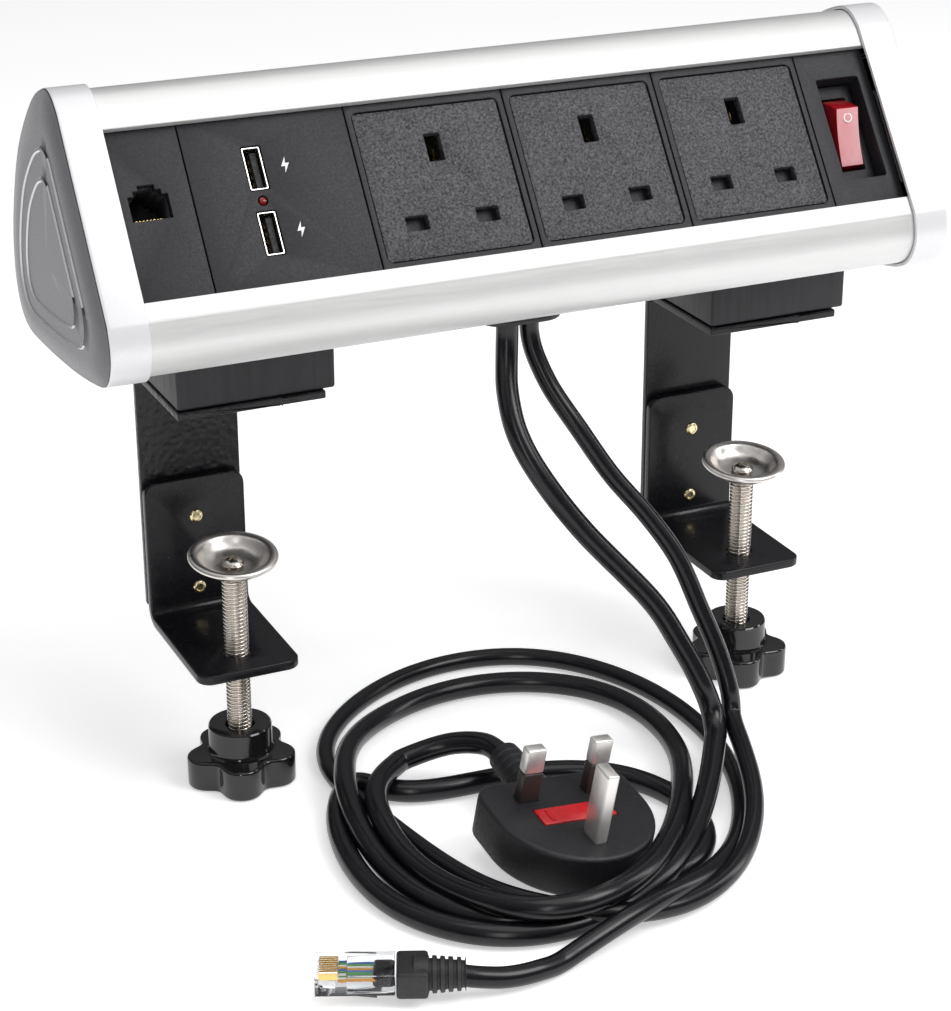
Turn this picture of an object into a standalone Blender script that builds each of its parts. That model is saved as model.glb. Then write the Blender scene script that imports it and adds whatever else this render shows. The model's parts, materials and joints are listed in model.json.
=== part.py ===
"""Desk power strip with two desk clamps, a mains cord with its plug and a network cord.

Metres, +Z up, +X along the body, the socket face towards -Y. Lengths below are millimetres.
The unit stands on its two clamp knobs, with the cords coiled on the same level.
"""
import math

import bmesh
import bpy
from mathutils import Matrix, Vector

MM = 0.001
GAP = 0.3                      # clearance between pieces that touch

# Body section: n runs out of the socket face, v runs up the face
FACE_TILT = math.radians(36.2)  # the face leans back from the vertical
FACE_HEIGHT = 190.0            # middle of the face above the level it stands on
ORIGIN_Y = 26.0                # the face's middle lies this far in front of the origin
FRONT_FLAT = 31.0              # half height of the flat front
FRONT_N = 4.0                  # front of the end caps, measured from the module faces
SIDE_POINTS = [(1.2, 38.5), (-5.5, 42.6), (-20.0, 45.0), (-45.0, 41.5), (-67.0, 30.5),
               (-79.5, 19.0), (-84.0, 8.0), (-80.5, -2.0), (-66.0, -13.0), (-44.0, -27.0),
               (-24.0, -38.0), (-10.0, -43.5), (-0.5, -40.0)]
CAP_WALL = 1.0
BODY_INSET = CAP_WALL + GAP
BODY_WALL = 2.3
SLOT_HALF = 25.3               # half height of the open front slot
CAP_RIM_X = 122.9              # inner edge of each end cap
CAP_END_X = 136.5
BODY_END_X = 133.0

# Modules in the slot
MODULE_SHIFT = -1.2            # middle of the module row
PLATE_HALF = 27.0              # half height of a module plate, behind the slot's lips
PLATE_THICK = 2.4
COLLAR_BACK = -18.0
PLUG_PITCH = 22.2              # earth pin to line of live and neutral, and live to neutral
EARTH_V = 10.2
LINE_V = EARTH_V - PLUG_PITCH
SOCKET_XS = [MODULE_SHIFT + x for x in (-25.0, 25.0, 75.0)]
DATA_X = MODULE_SHIFT - 112.5
USB_X = MODULE_SHIFT - 75.0
SWITCH_X = MODULE_SHIFT + 112.5
WELL_SHIFT = 0.9               # the switch's well lies this far right of its plate's middle
ROCKER_N = -8.2                # pivot of the rocker, behind the module faces
ROCKER_W = 8.0
ROCKER_REST = math.radians(20.0)

# Clamps
CLAMP_XS = {"left": -89.0, "right": 89.0}
STRAP_W = 32.6                 # width of the upright straps
FLANGE_RIGHT = 30.0            # the top flange runs this far right of the strap's middle
BLOCK_RIGHT = 33.3
JAW_Y = 13.4                   # front edge of the top flange
JAW_Z = 123.1                  # underside of the top flange: the fixed jaw
UPPER_STEEL = 2.5
LOWER_STEEL = 3.0
LOWER_FRONT_Y = 4.0
LOWER_FACE_Y = 52.0            # front face of the lower bracket's upright leg
LOWER_TOP_Z = 88.4
LOWER_FLANGE_Z = 43.5          # top of the lower flange
RIVET_ZS = {"upper": 75.3, "lower": 50.8}
SCREW_Y = 17.7
SCREW_R = 3.85
PIVOT_Z = 71.6                 # ball centre of the swivel pad
PAD_REST = math.radians(7.0)
HUB_TOP = 19.0
STAR_TOP = 10.0
STAR_PHASE = -0.305

# Cords
MAINS_D = 7.0
NETWORK_D = 6.0
OUTLET_Z = 139.7               # bottom of the grommet
MAINS_ROUTE = [(0.0, 12.0, OUTLET_Z - GAP), (0.0, 12.0, 135), (-1.0, 10.2, 127.5),
               (-2.8, 5.6, 118.5), (-2.8, -1.5, 107.5), (2.0, -8.5, 95), (13.0, -16.0, 78),
               (31.0, -26.5, 56), (38.5, -32.5, 42), (43.5, -37.5, 30), (46.0, -42.5, 17.5)]
NETWORK_ROUTE = [(8.5, 14.0, OUTLET_Z - GAP), (8.5, 14.0, 135), (9.3, 12.2, 128), (12.6, 7.2, 117.5),
                 (18.5, 0.5, 106), (27.0, -6.5, 91), (36.5, -13.0, 78), (44.0, -19.5, 65),
                 (48.5, -26.5, 50), (52.5, -32.5, 36), (54.0, -38.0, 24), (53.0, -42.0, 17.0)]
MAINS_TAIL = [(-21.4, -29.2, 15.6), (-24.0, -21.5, 15.6), (-31.0, -14.5, 13.8), (-40.5, -11.3, 11.2),
              (-50.0, -11.5, 9.2), (-57.5, -14.5, 8.0)]
NETWORK_TAIL = [(-73.6, -121.6, 5.9), (-64.0, -123.6, 4.2), (-53.0, -123.2, 3.4), (-42.0, -120.2, 3.2)]
COIL_CENTRE = (-12.0, -30.0)
COIL_OUTER = (68.4, 90.0)      # half sizes of the coil's oval
COIL_INNER = (51.0, 71.0)
COIL_POWER = 2.5               # 2 is an ellipse, more is squarer
COIL_TURN = math.radians(-11.0)
COIL_HEIGHT = 13.0
PLUG_PLACE = (-18.7, -64.0, 19.0)
PLUG_TURN = (math.radians(7.0), math.radians(6.0), math.radians(2.0))
PLUG_THICK = 14.0
JACK_PLUG_PLACE = (-112.0, -105.0, 6.8)
JACK_PLUG_TURN = math.radians(-23.4)

PARTS = "desk_power_strip"
CUTTERS = "cutters"


# ---------------------------------------------------------------- scene helpers

def clear_scene():
    for obj in list(bpy.data.objects):
        bpy.data.objects.remove(obj, do_unlink=True)
    for name in (PARTS, CUTTERS):
        group = bpy.data.collections.new(name)
        bpy.context.scene.collection.children.link(group)


def material(name, colour, roughness, metallic=0.0):
    mat = bpy.data.materials.get(name)
    if mat is None:
        mat = bpy.data.materials.new(name)
        mat.use_nodes = True
        shader = mat.node_tree.nodes["Principled BSDF"]
        shader.inputs["Base Color"].default_value = (*colour, 1.0)
        shader.inputs["Roughness"].default_value = roughness
        shader.inputs["Metallic"].default_value = metallic
    return mat


def empty(name, parent=None, place=(0, 0, 0), turn=(0, 0, 0)):
    obj = bpy.data.objects.new(name, None)
    bpy.data.collections[PARTS].objects.link(obj)
    obj.parent = parent
    obj.location = Vector(place) * MM
    obj.rotation_euler = turn
    return obj


def add(name, mesh, mat, parent, place=(0, 0, 0), turn=(0, 0, 0), group=PARTS):
    obj = bpy.data.objects.new(name, mesh)
    bpy.data.collections[group].objects.link(obj)
    obj.parent = parent
    obj.location = Vector(place) * MM
    obj.rotation_euler = turn
    if mat is not None:
        mesh.materials.append(mat)
    if group == CUTTERS:
        obj.hide_render = True
        obj.display_type = "WIRE"
    return obj


def axes_turn(x_axis, y_axis, z_axis):
    return Matrix((x_axis, y_axis, z_axis)).transposed().to_euler()


SIDE_TURN = axes_turn((0, 1, 0), (0, 0, 1), (1, 0, 0))      # outline (y, z), thickness along x
SECTION_TURN = axes_turn((0, 1, 0), (0, 0, 1), (1, 0, 0))   # outline (v, n) in the face frame
COMB_TURN = axes_turn((1, 0, 0), (0, 0, 1), (0, -1, 0))     # outline (x, n) in the face frame


# ---------------------------------------------------------------- shape helpers

def box_mesh(size, centre=(0, 0, 0)):
    bm = bmesh.new()
    bmesh.ops.create_cube(bm, size=1.0)
    bmesh.ops.scale(bm, vec=Vector(size) * MM, verts=bm.verts)
    bmesh.ops.translate(bm, vec=Vector(centre) * MM, verts=bm.verts)
    return finish(bm)


def rod_mesh(radius, z_low, z_high, sides=24, top_radius=None):
    bm = bmesh.new()
    top = radius if top_radius is None else top_radius
    bmesh.ops.create_cone(bm, cap_ends=True, segments=sides, radius1=radius * MM,
                          radius2=top * MM, depth=(z_high - z_low) * MM)
    bmesh.ops.translate(bm, vec=(0, 0, (z_low + z_high) / 2 * MM), verts=bm.verts)
    return finish(bm)


def finish(bm):
    mesh = bpy.data.meshes.new("mesh")
    bm.to_mesh(mesh)
    bm.free()
    return mesh


def curve_mesh(curve):
    """The evaluated curve as a welded mesh."""
    holder = bpy.data.objects.new("holder", curve)
    bpy.context.scene.collection.objects.link(holder)
    graph = bpy.context.evaluated_depsgraph_get()
    mesh = bpy.data.meshes.new_from_object(holder.evaluated_get(graph))
    bpy.data.objects.remove(holder, do_unlink=True)
    bm = bmesh.new()
    bm.from_mesh(mesh)
    bmesh.ops.remove_doubles(bm, verts=bm.verts, dist=1e-7)
    bm.to_mesh(mesh)
    bm.free()
    mesh.materials.clear()
    return mesh


def prism_mesh(loops, low, high, round_edge=0.0):
    """A flat outline, with holes if it has more loops, from height low to height high."""
    curve = bpy.data.curves.new("outline", "CURVE")
    curve.dimensions = "2D"
    curve.fill_mode = "BOTH"
    curve.extrude = ((high - low) / 2 - round_edge) * MM
    curve.bevel_depth = round_edge * MM
    curve.bevel_resolution = 1
    curve.offset = -round_edge * MM
    for loop in loops:
        spline = curve.splines.new("POLY")
        spline.points.add(len(loop) - 1)
        for point, (a, b) in zip(spline.points, loop):
            point.co = (a * MM, b * MM, 0, 1)
        spline.use_cyclic_u = True
    mesh = curve_mesh(curve)
    mesh.transform(Matrix.Translation((0, 0, (low + high) / 2 * MM)))
    return mesh


def rectangle(width, height, centre=(0, 0), radius=0.0, steps=3):
    """Outline of a rectangle with rounded corners."""
    cx, cy = centre
    if radius == 0.0:
        radius, steps = 1e-3, 0
    points = []
    corners = ((1, 1, 0), (-1, 1, 90), (-1, -1, 180), (1, -1, 270))
    for sx, sy, start in corners:
        for i in range(steps + 1):
            angle = math.radians(start + (90 * i / steps if steps else 45))
            points.append((cx + sx * (width / 2 - radius) + radius * math.cos(angle),
                           cy + sy * (height / 2 - radius) + radius * math.sin(angle)))
    return points


def ellipse(half_a, half_b, centre=(0, 0), count=20):
    step = 2 * math.pi / count
    return [(centre[0] + half_a * math.cos(i * step), centre[1] + half_b * math.sin(i * step))
            for i in range(count)]


def oval(half_a, half_b, count):
    """Outline of the coil: a squarish ellipse, turned a little."""
    points = []
    for i in range(count):
        a = 2 * math.pi * i / count
        c, s = math.cos(a), math.sin(a)
        scale = (abs(c) ** COIL_POWER + abs(s) ** COIL_POWER) ** (-1 / COIL_POWER)
        x, y = half_a * c * scale, half_b * s * scale
        points.append((COIL_CENTRE[0] + x * math.cos(COIL_TURN) - y * math.sin(COIL_TURN),
                       COIL_CENTRE[1] + x * math.sin(COIL_TURN) + y * math.cos(COIL_TURN)))
    return points


def turned(name, profile, mat, parent, place, turn=(0, 0, 0), closed=False, steps=24):
    """A turned piece: the profile (radius, height) runs down the outer side."""
    bm = bmesh.new()
    verts = [bm.verts.new((r * MM, 0, z * MM)) for r, z in profile]
    pairs = list(zip(verts, verts[1:]))
    if closed:
        pairs.append((verts[-1], verts[0]))
    for a, b in pairs:
        bm.edges.new((a, b))
    obj = add(name, finish(bm), mat, parent, place, turn)
    screw = obj.modifiers.new("turn", "SCREW")
    screw.steps = steps
    screw.render_steps = steps
    screw.use_merge_vertices = True
    screw.merge_threshold = 1e-5
    return obj


def bevel(obj, width, segments=2):
    mod = obj.modifiers.new("round", "BEVEL")
    mod.width = width * MM
    mod.segments = segments
    mod.limit_method = "ANGLE"
    return obj


def combine(obj, mesh, operation, place=None, turn=None):
    """Join a mesh to an object or cut it out; the tool sits at the object's own place."""
    tool = add("tool_" + obj.name, mesh, None, obj.parent, (0, 0, 0), (0, 0, 0), CUTTERS)
    tool.location = obj.location if place is None else Vector(place) * MM
    tool.rotation_euler = obj.rotation_euler if turn is None else turn
    mod = obj.modifiers.new(operation.lower(), "BOOLEAN")
    mod.operation = operation
    mod.solver = "EXACT"
    mod.object = tool
    return obj


def smooth_path(points, per_span, before=None, after=None):
    """Points of a Catmull-Rom curve through the given points."""
    rows = [Vector(p) for p in points]
    first = Vector(before) if before else rows[0] * 2 - rows[1]
    last = Vector(after) if after else rows[-1] * 2 - rows[-2]
    rows = [first] + rows + [last]
    path = []
    for i in range(1, len(rows) - 2):
        a, b, c, d = rows[i - 1:i + 3]
        for k in range(per_span):
            t = k / per_span
            path.append((b * 2 + (c - a) * t + (a * 2 - b * 5 + c * 4 - d) * t * t
                         + (b * 3 - a - c * 3 + d) * t ** 3) / 2)
    path.append(rows[-2])
    return path


def cord_tube(name, route, diameter, mat, parent, per_span=2):
    curve = bpy.data.curves.new(name, "CURVE")
    curve.dimensions = "3D"
    curve.bevel_depth = diameter / 2 * MM
    curve.bevel_resolution = 2
    curve.use_fill_caps = True
    path = [Vector(p) for p in route[:1]] + smooth_path(route[1:], per_span, route[0])
    spline = curve.splines.new("POLY")
    spline.points.add(len(path) - 1)
    for point, place in zip(spline.points, path):
        point.co = (*(place * MM), 1)
    return add(name, curve, mat, parent)


# ---------------------------------------------------------------- body and end caps

def body_outline(inset):
    """Outline of the body as (v, n) points, from the flat's upper end round the back."""
    path = smooth_path([(FRONT_N, FRONT_FLAT)] + SIDE_POINTS + [(FRONT_N, -FRONT_FLAT)], 4,
                       (FRONT_N, FRONT_FLAT - 8), (FRONT_N, 8 - FRONT_FLAT))
    count = len(path)
    points = []
    for i, p in enumerate(path):
        along = (path[min(i + 1, count - 1)] - path[max(i - 1, 0)]).normalized()
        if i in (0, count - 1):
            along = Vector((0, 1))
        inward = Vector((-abs(along.y), 0)) if i in (0, count - 1) else Vector((-along.y, along.x))
        q = p + inward * inset
        points.append((q.y, q.x))
    return points


def underside(y):
    """Height of the body's underside at a depth y, above the standing level."""
    places = []
    for v, n in body_outline(BODY_INSET):
        places.append((v * math.sin(FACE_TILT) - n * math.cos(FACE_TILT),
                       FACE_HEIGHT + v * math.cos(FACE_TILT) + n * math.sin(FACE_TILT)))
    low = [p for p in places if p[1] < FACE_HEIGHT - 25]
    low.sort()
    for (ya, za), (yb, zb) in zip(low, low[1:]):
        if ya <= y <= yb:
            return za + (zb - za) * (y - ya) / (yb - ya)
    return low[-1][1]


def make_extrusion(face, unit, mat):
    outer = body_outline(BODY_INSET)
    inner = body_outline(BODY_INSET + BODY_WALL)
    lip_out = FRONT_N - BODY_INSET
    lip_in = lip_out - BODY_WALL
    loop = ([(SLOT_HALF, lip_out)] + outer + [(-SLOT_HALF, lip_out), (-SLOT_HALF, lip_in)]
            + inner[::-1] + [(SLOT_HALF, lip_in)])
    obj = add("extrusion_body", prism_mesh([loop], -BODY_END_X, BODY_END_X), mat, face,
              (0, 0, 0), SECTION_TURN)
    hole = prism_mesh([rectangle(24.0, 13.0, (4.2, 13.0), 6.4)], OUTLET_Z - 5, OUTLET_Z + 15)
    tool = add("tool_outlet", hole, None, unit, group=CUTTERS)
    mod = obj.modifiers.new("outlet", "BOOLEAN")
    mod.object = tool
    mod.solver = "EXACT"


def make_end_cap(name, side, face, mat):
    """A shell: rim over the body's end, rounded edge and flat end wall."""
    rings = [(CAP_RIM_X, 0.0), (CAP_END_X - 3.0, 0.0), (CAP_END_X - 0.9, 0.8), (CAP_END_X, 2.8)]
    bm = bmesh.new()
    rows = []
    for x, inset in rings:
        rows.append([bm.verts.new((side * x * MM, v * MM, n * MM)) for v, n in body_outline(inset)])
    count = len(rows[0])
    for low, high in zip(rows, rows[1:]):
        for i in range(count):
            j = (i + 1) % count
            bm.faces.new((low[i], low[j], high[j], high[i]))
    bm.faces.new(rows[-1])
    bmesh.ops.recalc_face_normals(bm, faces=bm.faces)
    if bm.faces[:][-1].normal.x * side < 0:
        bmesh.ops.reverse_faces(bm, faces=bm.faces)
    obj = add(name, finish(bm), mat, face)
    shell = obj.modifiers.new("wall", "SOLIDIFY")
    shell.thickness = CAP_WALL * MM
    shell.offset = -1
    return obj


# ---------------------------------------------------------------- modules

def module_frame(name, x, width, holes, mat, face, collar=None):
    """Plate behind the slot's lips, with openings and a collar behind one of them."""
    plate = prism_mesh([rectangle(width, 2 * PLATE_HALF)] + holes, -PLATE_THICK, 0)
    obj = add(name, plate, mat, face, (x, 0, 0))
    if collar:
        outer, inner, back = collar
        combine(obj, prism_mesh([outer, inner], back, -PLATE_THICK / 2), "UNION")
    return obj


def make_data_module(face, black, gold):
    jack_v = 3.4
    width, height = 14.2, 16.4
    hole = rectangle(width + 2 * GAP, height + 2 * GAP, (0, jack_v))
    collar_out = rectangle(width + 4, height + 4, (0, jack_v))
    module_frame("data_module_frame", DATA_X, 24.6, [hole], black, face, (collar_out, hole, -9))
    jack = add("data_jack_body", box_mesh((width, height, 26.5), (0, jack_v, -13.75)), black, face,
               (DATA_X, 0, 0))
    half, low, high, notch, notch_top = 5.75, -1.2, 6.4, 2.4, 9.0
    mouth = [(-half, low), (half, low), (half, high), (notch, high), (notch, notch_top),
             (-notch, notch_top), (-notch, high), (-half, high)]
    combine(jack, prism_mesh([mouth], -15.0, 2.0), "DIFFERENCE")
    teeth = []
    pitch = 1.02
    for i in range(8):
        x = (i - 3.5) * pitch
        teeth += [(x - 0.25, -13.6), (x - 0.25, -4.0), (x + 0.25, -4.0), (x + 0.25, -13.6)]
    comb = [(-4.6, -14.6), (-4.6, -13.6)] + teeth + [(4.6, -13.6), (4.6, -14.6)]
    add("data_jack_contacts", prism_mesh([comb], -0.2, 0.2), gold, face,
        (DATA_X, 0.0, 0), COMB_TURN)


def make_usb_module(face, black, steel, board_green, red):
    port_x = -5.1
    shell_w, shell_h = 5.4, 12.8
    ports = {"upper": 10.1, "lower": -9.4}
    holes = [rectangle(shell_w + 2 * GAP, shell_h + 2 * GAP, (port_x, v), 0.6) for v in ports.values()]
    led = (port_x, 0.3)
    holes.append(ellipse(1.5, 1.5, led, 12))
    module_frame("usb_module_frame", USB_X, 49.6, holes, black, face)
    for key, v in ports.items():
        loops = [rectangle(shell_w, shell_h, (port_x, v), 0.5),
                 rectangle(shell_w - 0.9, shell_h - 0.9, (port_x, v), 0.3)]
        add("usb_shell_" + key, prism_mesh(loops, -14.0, -0.3), steel, face, (USB_X, 0, 0))
    tongues = add("usb_tongue_block", box_mesh((9.0, 36.0, 2.0), (port_x, 0.3, -15.5)), black, face,
                  (USB_X, 0, 0))
    for v in ports.values():
        combine(tongues, box_mesh((1.9, 10.8, 13.5), (port_x + 0.9, v, -8.75)), "UNION")
    add("usb_led_lens", rod_mesh(1.2, -6.0, 0.1, 12), red, face, (USB_X + led[0], led[1], 0))
    board = add("usb_power_board", box_mesh((44.0, 46.0, 1.6), (0, 0, -18.0)), board_green, face,
                (USB_X, 0, 0))
    for size, place in (((15, 18, 14), (10, 8, -25)), ((8, 8, 12), (-10, 12, -24)),
                        ((12, 10, 6), (6, -12, -21))):
        combine(board, box_mesh(size, place), "UNION")


def make_socket(index, x, face, black, dark):
    aperture = rectangle(46.2, 46.2, (0, 0), 2.0)
    collar = rectangle(48.6, 48.6, (0, 0), 2.0)
    module_frame("socket_%d_frame" % index, x, 49.6, [aperture], black, face,
                 (collar, aperture, COLLAR_BACK))
    half = PLUG_PITCH / 2
    loops = [rectangle(45.6, 45.6, (0, 0), 1.8), rectangle(4.9, 8.6, (0, EARTH_V), 0.4),
             rectangle(6.9, 4.5, (-half, LINE_V), 0.4), rectangle(6.9, 4.5, (half, LINE_V), 0.4)]
    add("socket_%d_insert" % index, prism_mesh(loops, -3.4, -0.4), dark, face, (x, 0, 0))
    low, high, wing, stem, stem_top = LINE_V - 3.6, LINE_V + 4.0, 16.0, 3.0, 2.0
    shape = [(-wing, low), (wing, low), (wing, high), (stem, high), (stem, stem_top),
             (-stem, stem_top), (-stem, high), (-wing, high)]
    add("socket_%d_shutter" % index, prism_mesh([shape], -6.0, -4.0), black, face, (x, 0, 0))


def make_bus_bar(name, offset, v, width, grip, face, mat):
    """A brass strip behind the sockets, with a pair of spring blades for each one."""
    back, front, strip, blade = -21.4, -8.0, 1.2, 0.8
    shape = [(SOCKET_XS[0] + offset - 6, back), (SOCKET_XS[0] + offset - 6, back + strip)]
    for x in SOCKET_XS:
        for side in (-1, 1):
            edge = x + offset + side * grip
            shape += [(edge - blade / 2, back + strip), (edge - blade / 2, front),
                      (edge + blade / 2, front), (edge + blade / 2, back + strip)]
    shape += [(SOCKET_XS[-1] + offset + 6, back + strip), (SOCKET_XS[-1] + offset + 6, back)]
    add(name, prism_mesh([shape], -width / 2, width / 2), mat, face, (0, v, 0), COMB_TURN)


def make_switch_module(face, black, red):
    well = rectangle(15.2, 33.4, (WELL_SHIFT, 0), 0.8)
    collar = rectangle(18.2, 36.4, (WELL_SHIFT, 0), 1.2)
    module_frame("switch_module_frame", SWITCH_X, 24.6, [well], black, face, (collar, well, -17))
    bezel_n, base_back = -5.8, -24.0
    block = box_mesh((14.5, 32.6, bezel_n - base_back), (0, 0, (bezel_n + base_back) / 2))
    middle = SWITCH_X + WELL_SHIFT
    base = add("switch_base", block, black, face, (middle, 0, 0))
    combine(base, box_mesh((9.4, 24.0, 24.0), (0, 0, -6.5)), "DIFFERENCE")
    pin_r, pin_half = 1.2, 5.6
    sideways = (0, math.radians(90), 0)
    combine(base, rod_mesh(pin_r + GAP, -pin_half - GAP, pin_half + GAP, 16), "DIFFERENCE",
            (middle, 0, ROCKER_N), sideways)
    end, rise, valley, skirt, skirt_n, foot, sole = 9.0, 6.6, 5.8, 11.6, -1.4, 8.0, -4.5
    shape = [(-foot, sole), (foot, sole), (skirt, skirt_n), (end, rise), (0, valley), (-end, rise),
             (-skirt, skirt_n)]
    turn = axes_turn((0, math.cos(ROCKER_REST), math.sin(ROCKER_REST)),
                     (0, -math.sin(ROCKER_REST), math.cos(ROCKER_REST)), (1, 0, 0))
    rocker = add("switch_rocker", prism_mesh([shape], -ROCKER_W / 2, ROCKER_W / 2), red, face,
                 (middle, 0, ROCKER_N), turn)
    combine(rocker, rod_mesh(pin_r, -pin_half, pin_half, 16), "UNION")


# ---------------------------------------------------------------- clamps

def make_spacer(side, x, unit, mat):
    back_y = 66.0
    left, right = x - STRAP_W / 2 + 0.3, x + BLOCK_RIGHT
    bottom = JAW_Z + UPPER_STEEL + GAP
    count = 8
    ys = [JAW_Y + 0.5 + (back_y - JAW_Y - 0.5) * i / count for i in range(count + 1)]
    top = [(y, underside(y) - GAP - 0.1) for y in ys]
    loop = [(ys[-1], bottom), (ys[-1], top[-1][1])] + top[::-1][1:] + [(ys[0], bottom)]
    mesh = prism_mesh([loop], left, right)
    bevel(add("spacer_block_" + side, mesh, mat, unit, (0, 0, 0), SIDE_TURN), 0.8, 2)


def bent_profile(corner, leg_up, leg_out, thick, inner_r):
    """Side outline (y, z) of a strip bent square; corner is its outer back bottom corner.
    leg_up is the height of the upright leg and leg_out the reach of the flange to -Y."""
    y0, z0 = corner
    sign = 1 if leg_up > 0 else -1
    outer_r = inner_r + thick
    points = [(y0, z0 + leg_up)]
    for i in range(5):
        a = math.radians(90 * i / 4)
        points.append((y0 - outer_r + outer_r * math.cos(a), z0 + sign * (outer_r - outer_r * math.sin(a))))
    points += [(y0 - leg_out, z0), (y0 - leg_out, z0 + sign * thick)]
    for i in range(5):
        a = math.radians(90 - 90 * i / 4)
        points.append((y0 - outer_r + inner_r * math.cos(a),
                       z0 + sign * (outer_r - inner_r * math.sin(a))))
    points.append((y0 - thick, z0 + leg_up))
    return points


def round_corners(mesh, picks, radius):
    """Round the edges whose middles satisfy one of the tests."""
    bm = bmesh.new()
    bm.from_mesh(mesh)
    edges = [e for e in bm.edges if any(pick(e) for pick in picks)]
    bmesh.ops.bevel(bm, geom=edges, offset=radius * MM, segments=4, profile=0.5, affect="EDGES")
    bm.to_mesh(mesh)
    bm.free()
    return mesh


def across(level_index, level):
    """Edges along the sheet's thickness that lie at a level of one outline coordinate."""
    def pick(edge):
        a, b = (v.co for v in edge.verts)
        delta = b - a
        at_level = all(abs(c[level_index] - level * MM) < 1e-5 for c in (a, b))
        return at_level and abs(delta[1 - level_index]) > 1e-4 and abs(delta.z) < 1e-5
    return pick


def make_brackets(side, x, unit, wrinkle, satin, brass):
    half = STRAP_W / 2
    upper_back = LOWER_FACE_Y + LOWER_STEEL + GAP + UPPER_STEEL
    upper = bent_profile((upper_back, JAW_Z + UPPER_STEEL), -(JAW_Z + UPPER_STEEL - 46.0),
                         upper_back - JAW_Y, UPPER_STEEL, 1.5)
    strap = add("upper_bracket_" + side, prism_mesh([upper[::-1]], x - half, x + half), wrinkle, unit,
                (0, 0, 0), SIDE_TURN)
    reach = upper_back - 5 - JAW_Y
    wing = box_mesh((FLANGE_RIGHT - half + 1, reach, UPPER_STEEL),
                    (x + (FLANGE_RIGHT + half - 1) / 2, JAW_Y + reach / 2, JAW_Z + UPPER_STEEL / 2))
    combine(strap, wing, "UNION", (0, 0, 0), (0, 0, 0))

    lower_back = LOWER_FACE_Y + LOWER_STEEL
    low_z = LOWER_FLANGE_Z - LOWER_STEEL
    lower = bent_profile((lower_back, low_z), LOWER_TOP_Z - low_z, lower_back - LOWER_FRONT_Y,
                         LOWER_STEEL, 3.0)
    mesh = prism_mesh([lower], x - half, x + half)
    round_corners(mesh, [across(0, LOWER_FRONT_Y), across(1, LOWER_TOP_Z)], 4.5)
    angle = add("lower_bracket_" + side, mesh, satin, unit, (0, 0, 0), SIDE_TURN)
    combine(angle, rod_mesh(SCREW_R + GAP, -10, 10, 24), "DIFFERENCE", (x, SCREW_Y, LOWER_FLANGE_Z),
            (0, 0, 0))
    for key, z in RIVET_ZS.items():
        across_y = (math.radians(-90), 0, 0)
        for piece in (strap, angle):
            combine(piece, rod_mesh(2.2 + GAP, -8, 8, 16), "DIFFERENCE",
                    (x, LOWER_FACE_Y + LOWER_STEEL, z), across_y)
        rear = upper_back - LOWER_FACE_Y + GAP
        profile = [(0, rear + 1.8), (2.6, rear + 1.6), (3.8, rear + 0.5), (3.8, rear), (2.2, rear),
                   (2.2, -0.1), (1.9, -0.6), (0, -0.8)]
        turned("bracket_rivet_%s_%s" % (side, key), profile, brass, unit, (x, LOWER_FACE_Y, z),
               across_y, steps=16)


def star_outline(count=50):
    """Five rounded lobes."""
    points = []
    for i in range(count):
        a = 2 * math.pi * i / count
        r = 15.5 + 2.1 * math.cos(5 * a) - 0.3 * math.cos(10 * a)
        points.append((r * math.sin(a + STAR_PHASE), r * math.cos(a + STAR_PHASE)))
    return points[::-1]


def make_clamp_screw(side, x, unit, steel, chrome, black):
    base = 5.5
    top = PIVOT_Z - 2.6
    screw = [(0, top - 9.0), (2.0, top - 9.0), (2.0, top), (SCREW_R - 0.6, top), (SCREW_R, top - 0.6),
             (SCREW_R, base + 0.6), (SCREW_R - 0.6, base), (0, base)]
    turned("clamp_screw_" + side, screw, steel, unit, (x, SCREW_Y, 0))
    washer = [(2.1, 1.0), (4.6, 1.0), (4.6, 0.0), (2.1, 0.0)]
    turned("pad_washer_" + side, washer, steel, unit, (x, SCREW_Y, top + GAP), closed=True)
    dish = [(2.8, 0.6), (6.0, 0.8), (8.6, 1.9), (10.6, 4.0), (12.0, 5.2), (13.2, 5.2), (13.8, 4.4),
            (13.4, 3.6), (12.4, 3.9), (11.4, 3.0), (9.4, 0.7), (6.4, -0.5), (2.8, -0.6)]
    turned("pad_cup_" + side, dish, chrome, unit, (x, SCREW_Y, PIVOT_Z), (PAD_REST, 0, 0), closed=True)
    head = 1.4
    fixing = [(0, head + 1.9), (2.2, head + 1.7), (3.4, head + 0.9), (3.6, head), (1.7, head),
              (1.7, -9.5), (1.4, -10.4), (0, -10.4)]
    turned("pad_screw_" + side, fixing, chrome, unit, (x, SCREW_Y, PIVOT_Z), steps=20)
    knob = add("clamp_knob_" + side, prism_mesh([star_outline()], 0, STAR_TOP, 1.0), black, unit,
               (x, SCREW_Y, 0))
    combine(knob, rod_mesh(9.9, 2.0, HUB_TOP, 32), "UNION")
    combine(knob, rod_mesh(SCREW_R + GAP, base - GAP, HUB_TOP + 5, 24), "DIFFERENCE")


# ---------------------------------------------------------------- cords, plug and network plug

def make_grommet(unit, mat):
    flange = prism_mesh([rectangle(27.0, 15.4, (4.2, 13.0), 7.6)], OUTLET_Z, OUTLET_Z + 1.6)
    obj = add("cord_grommet", flange, mat, unit)
    combine(obj, prism_mesh([rectangle(23.4, 12.4, (4.2, 13.0), 6.1)], OUTLET_Z + 0.8,
                            OUTLET_Z + 9.5), "UNION")
    for route, diameter in ((MAINS_ROUTE, MAINS_D), (NETWORK_ROUTE, NETWORK_D)):
        x, y, _ = route[0]
        combine(obj, rod_mesh(diameter / 2 + 0.2, -5, 15, 16), "DIFFERENCE", (x, y, OUTLET_Z), (0, 0, 0))


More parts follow.
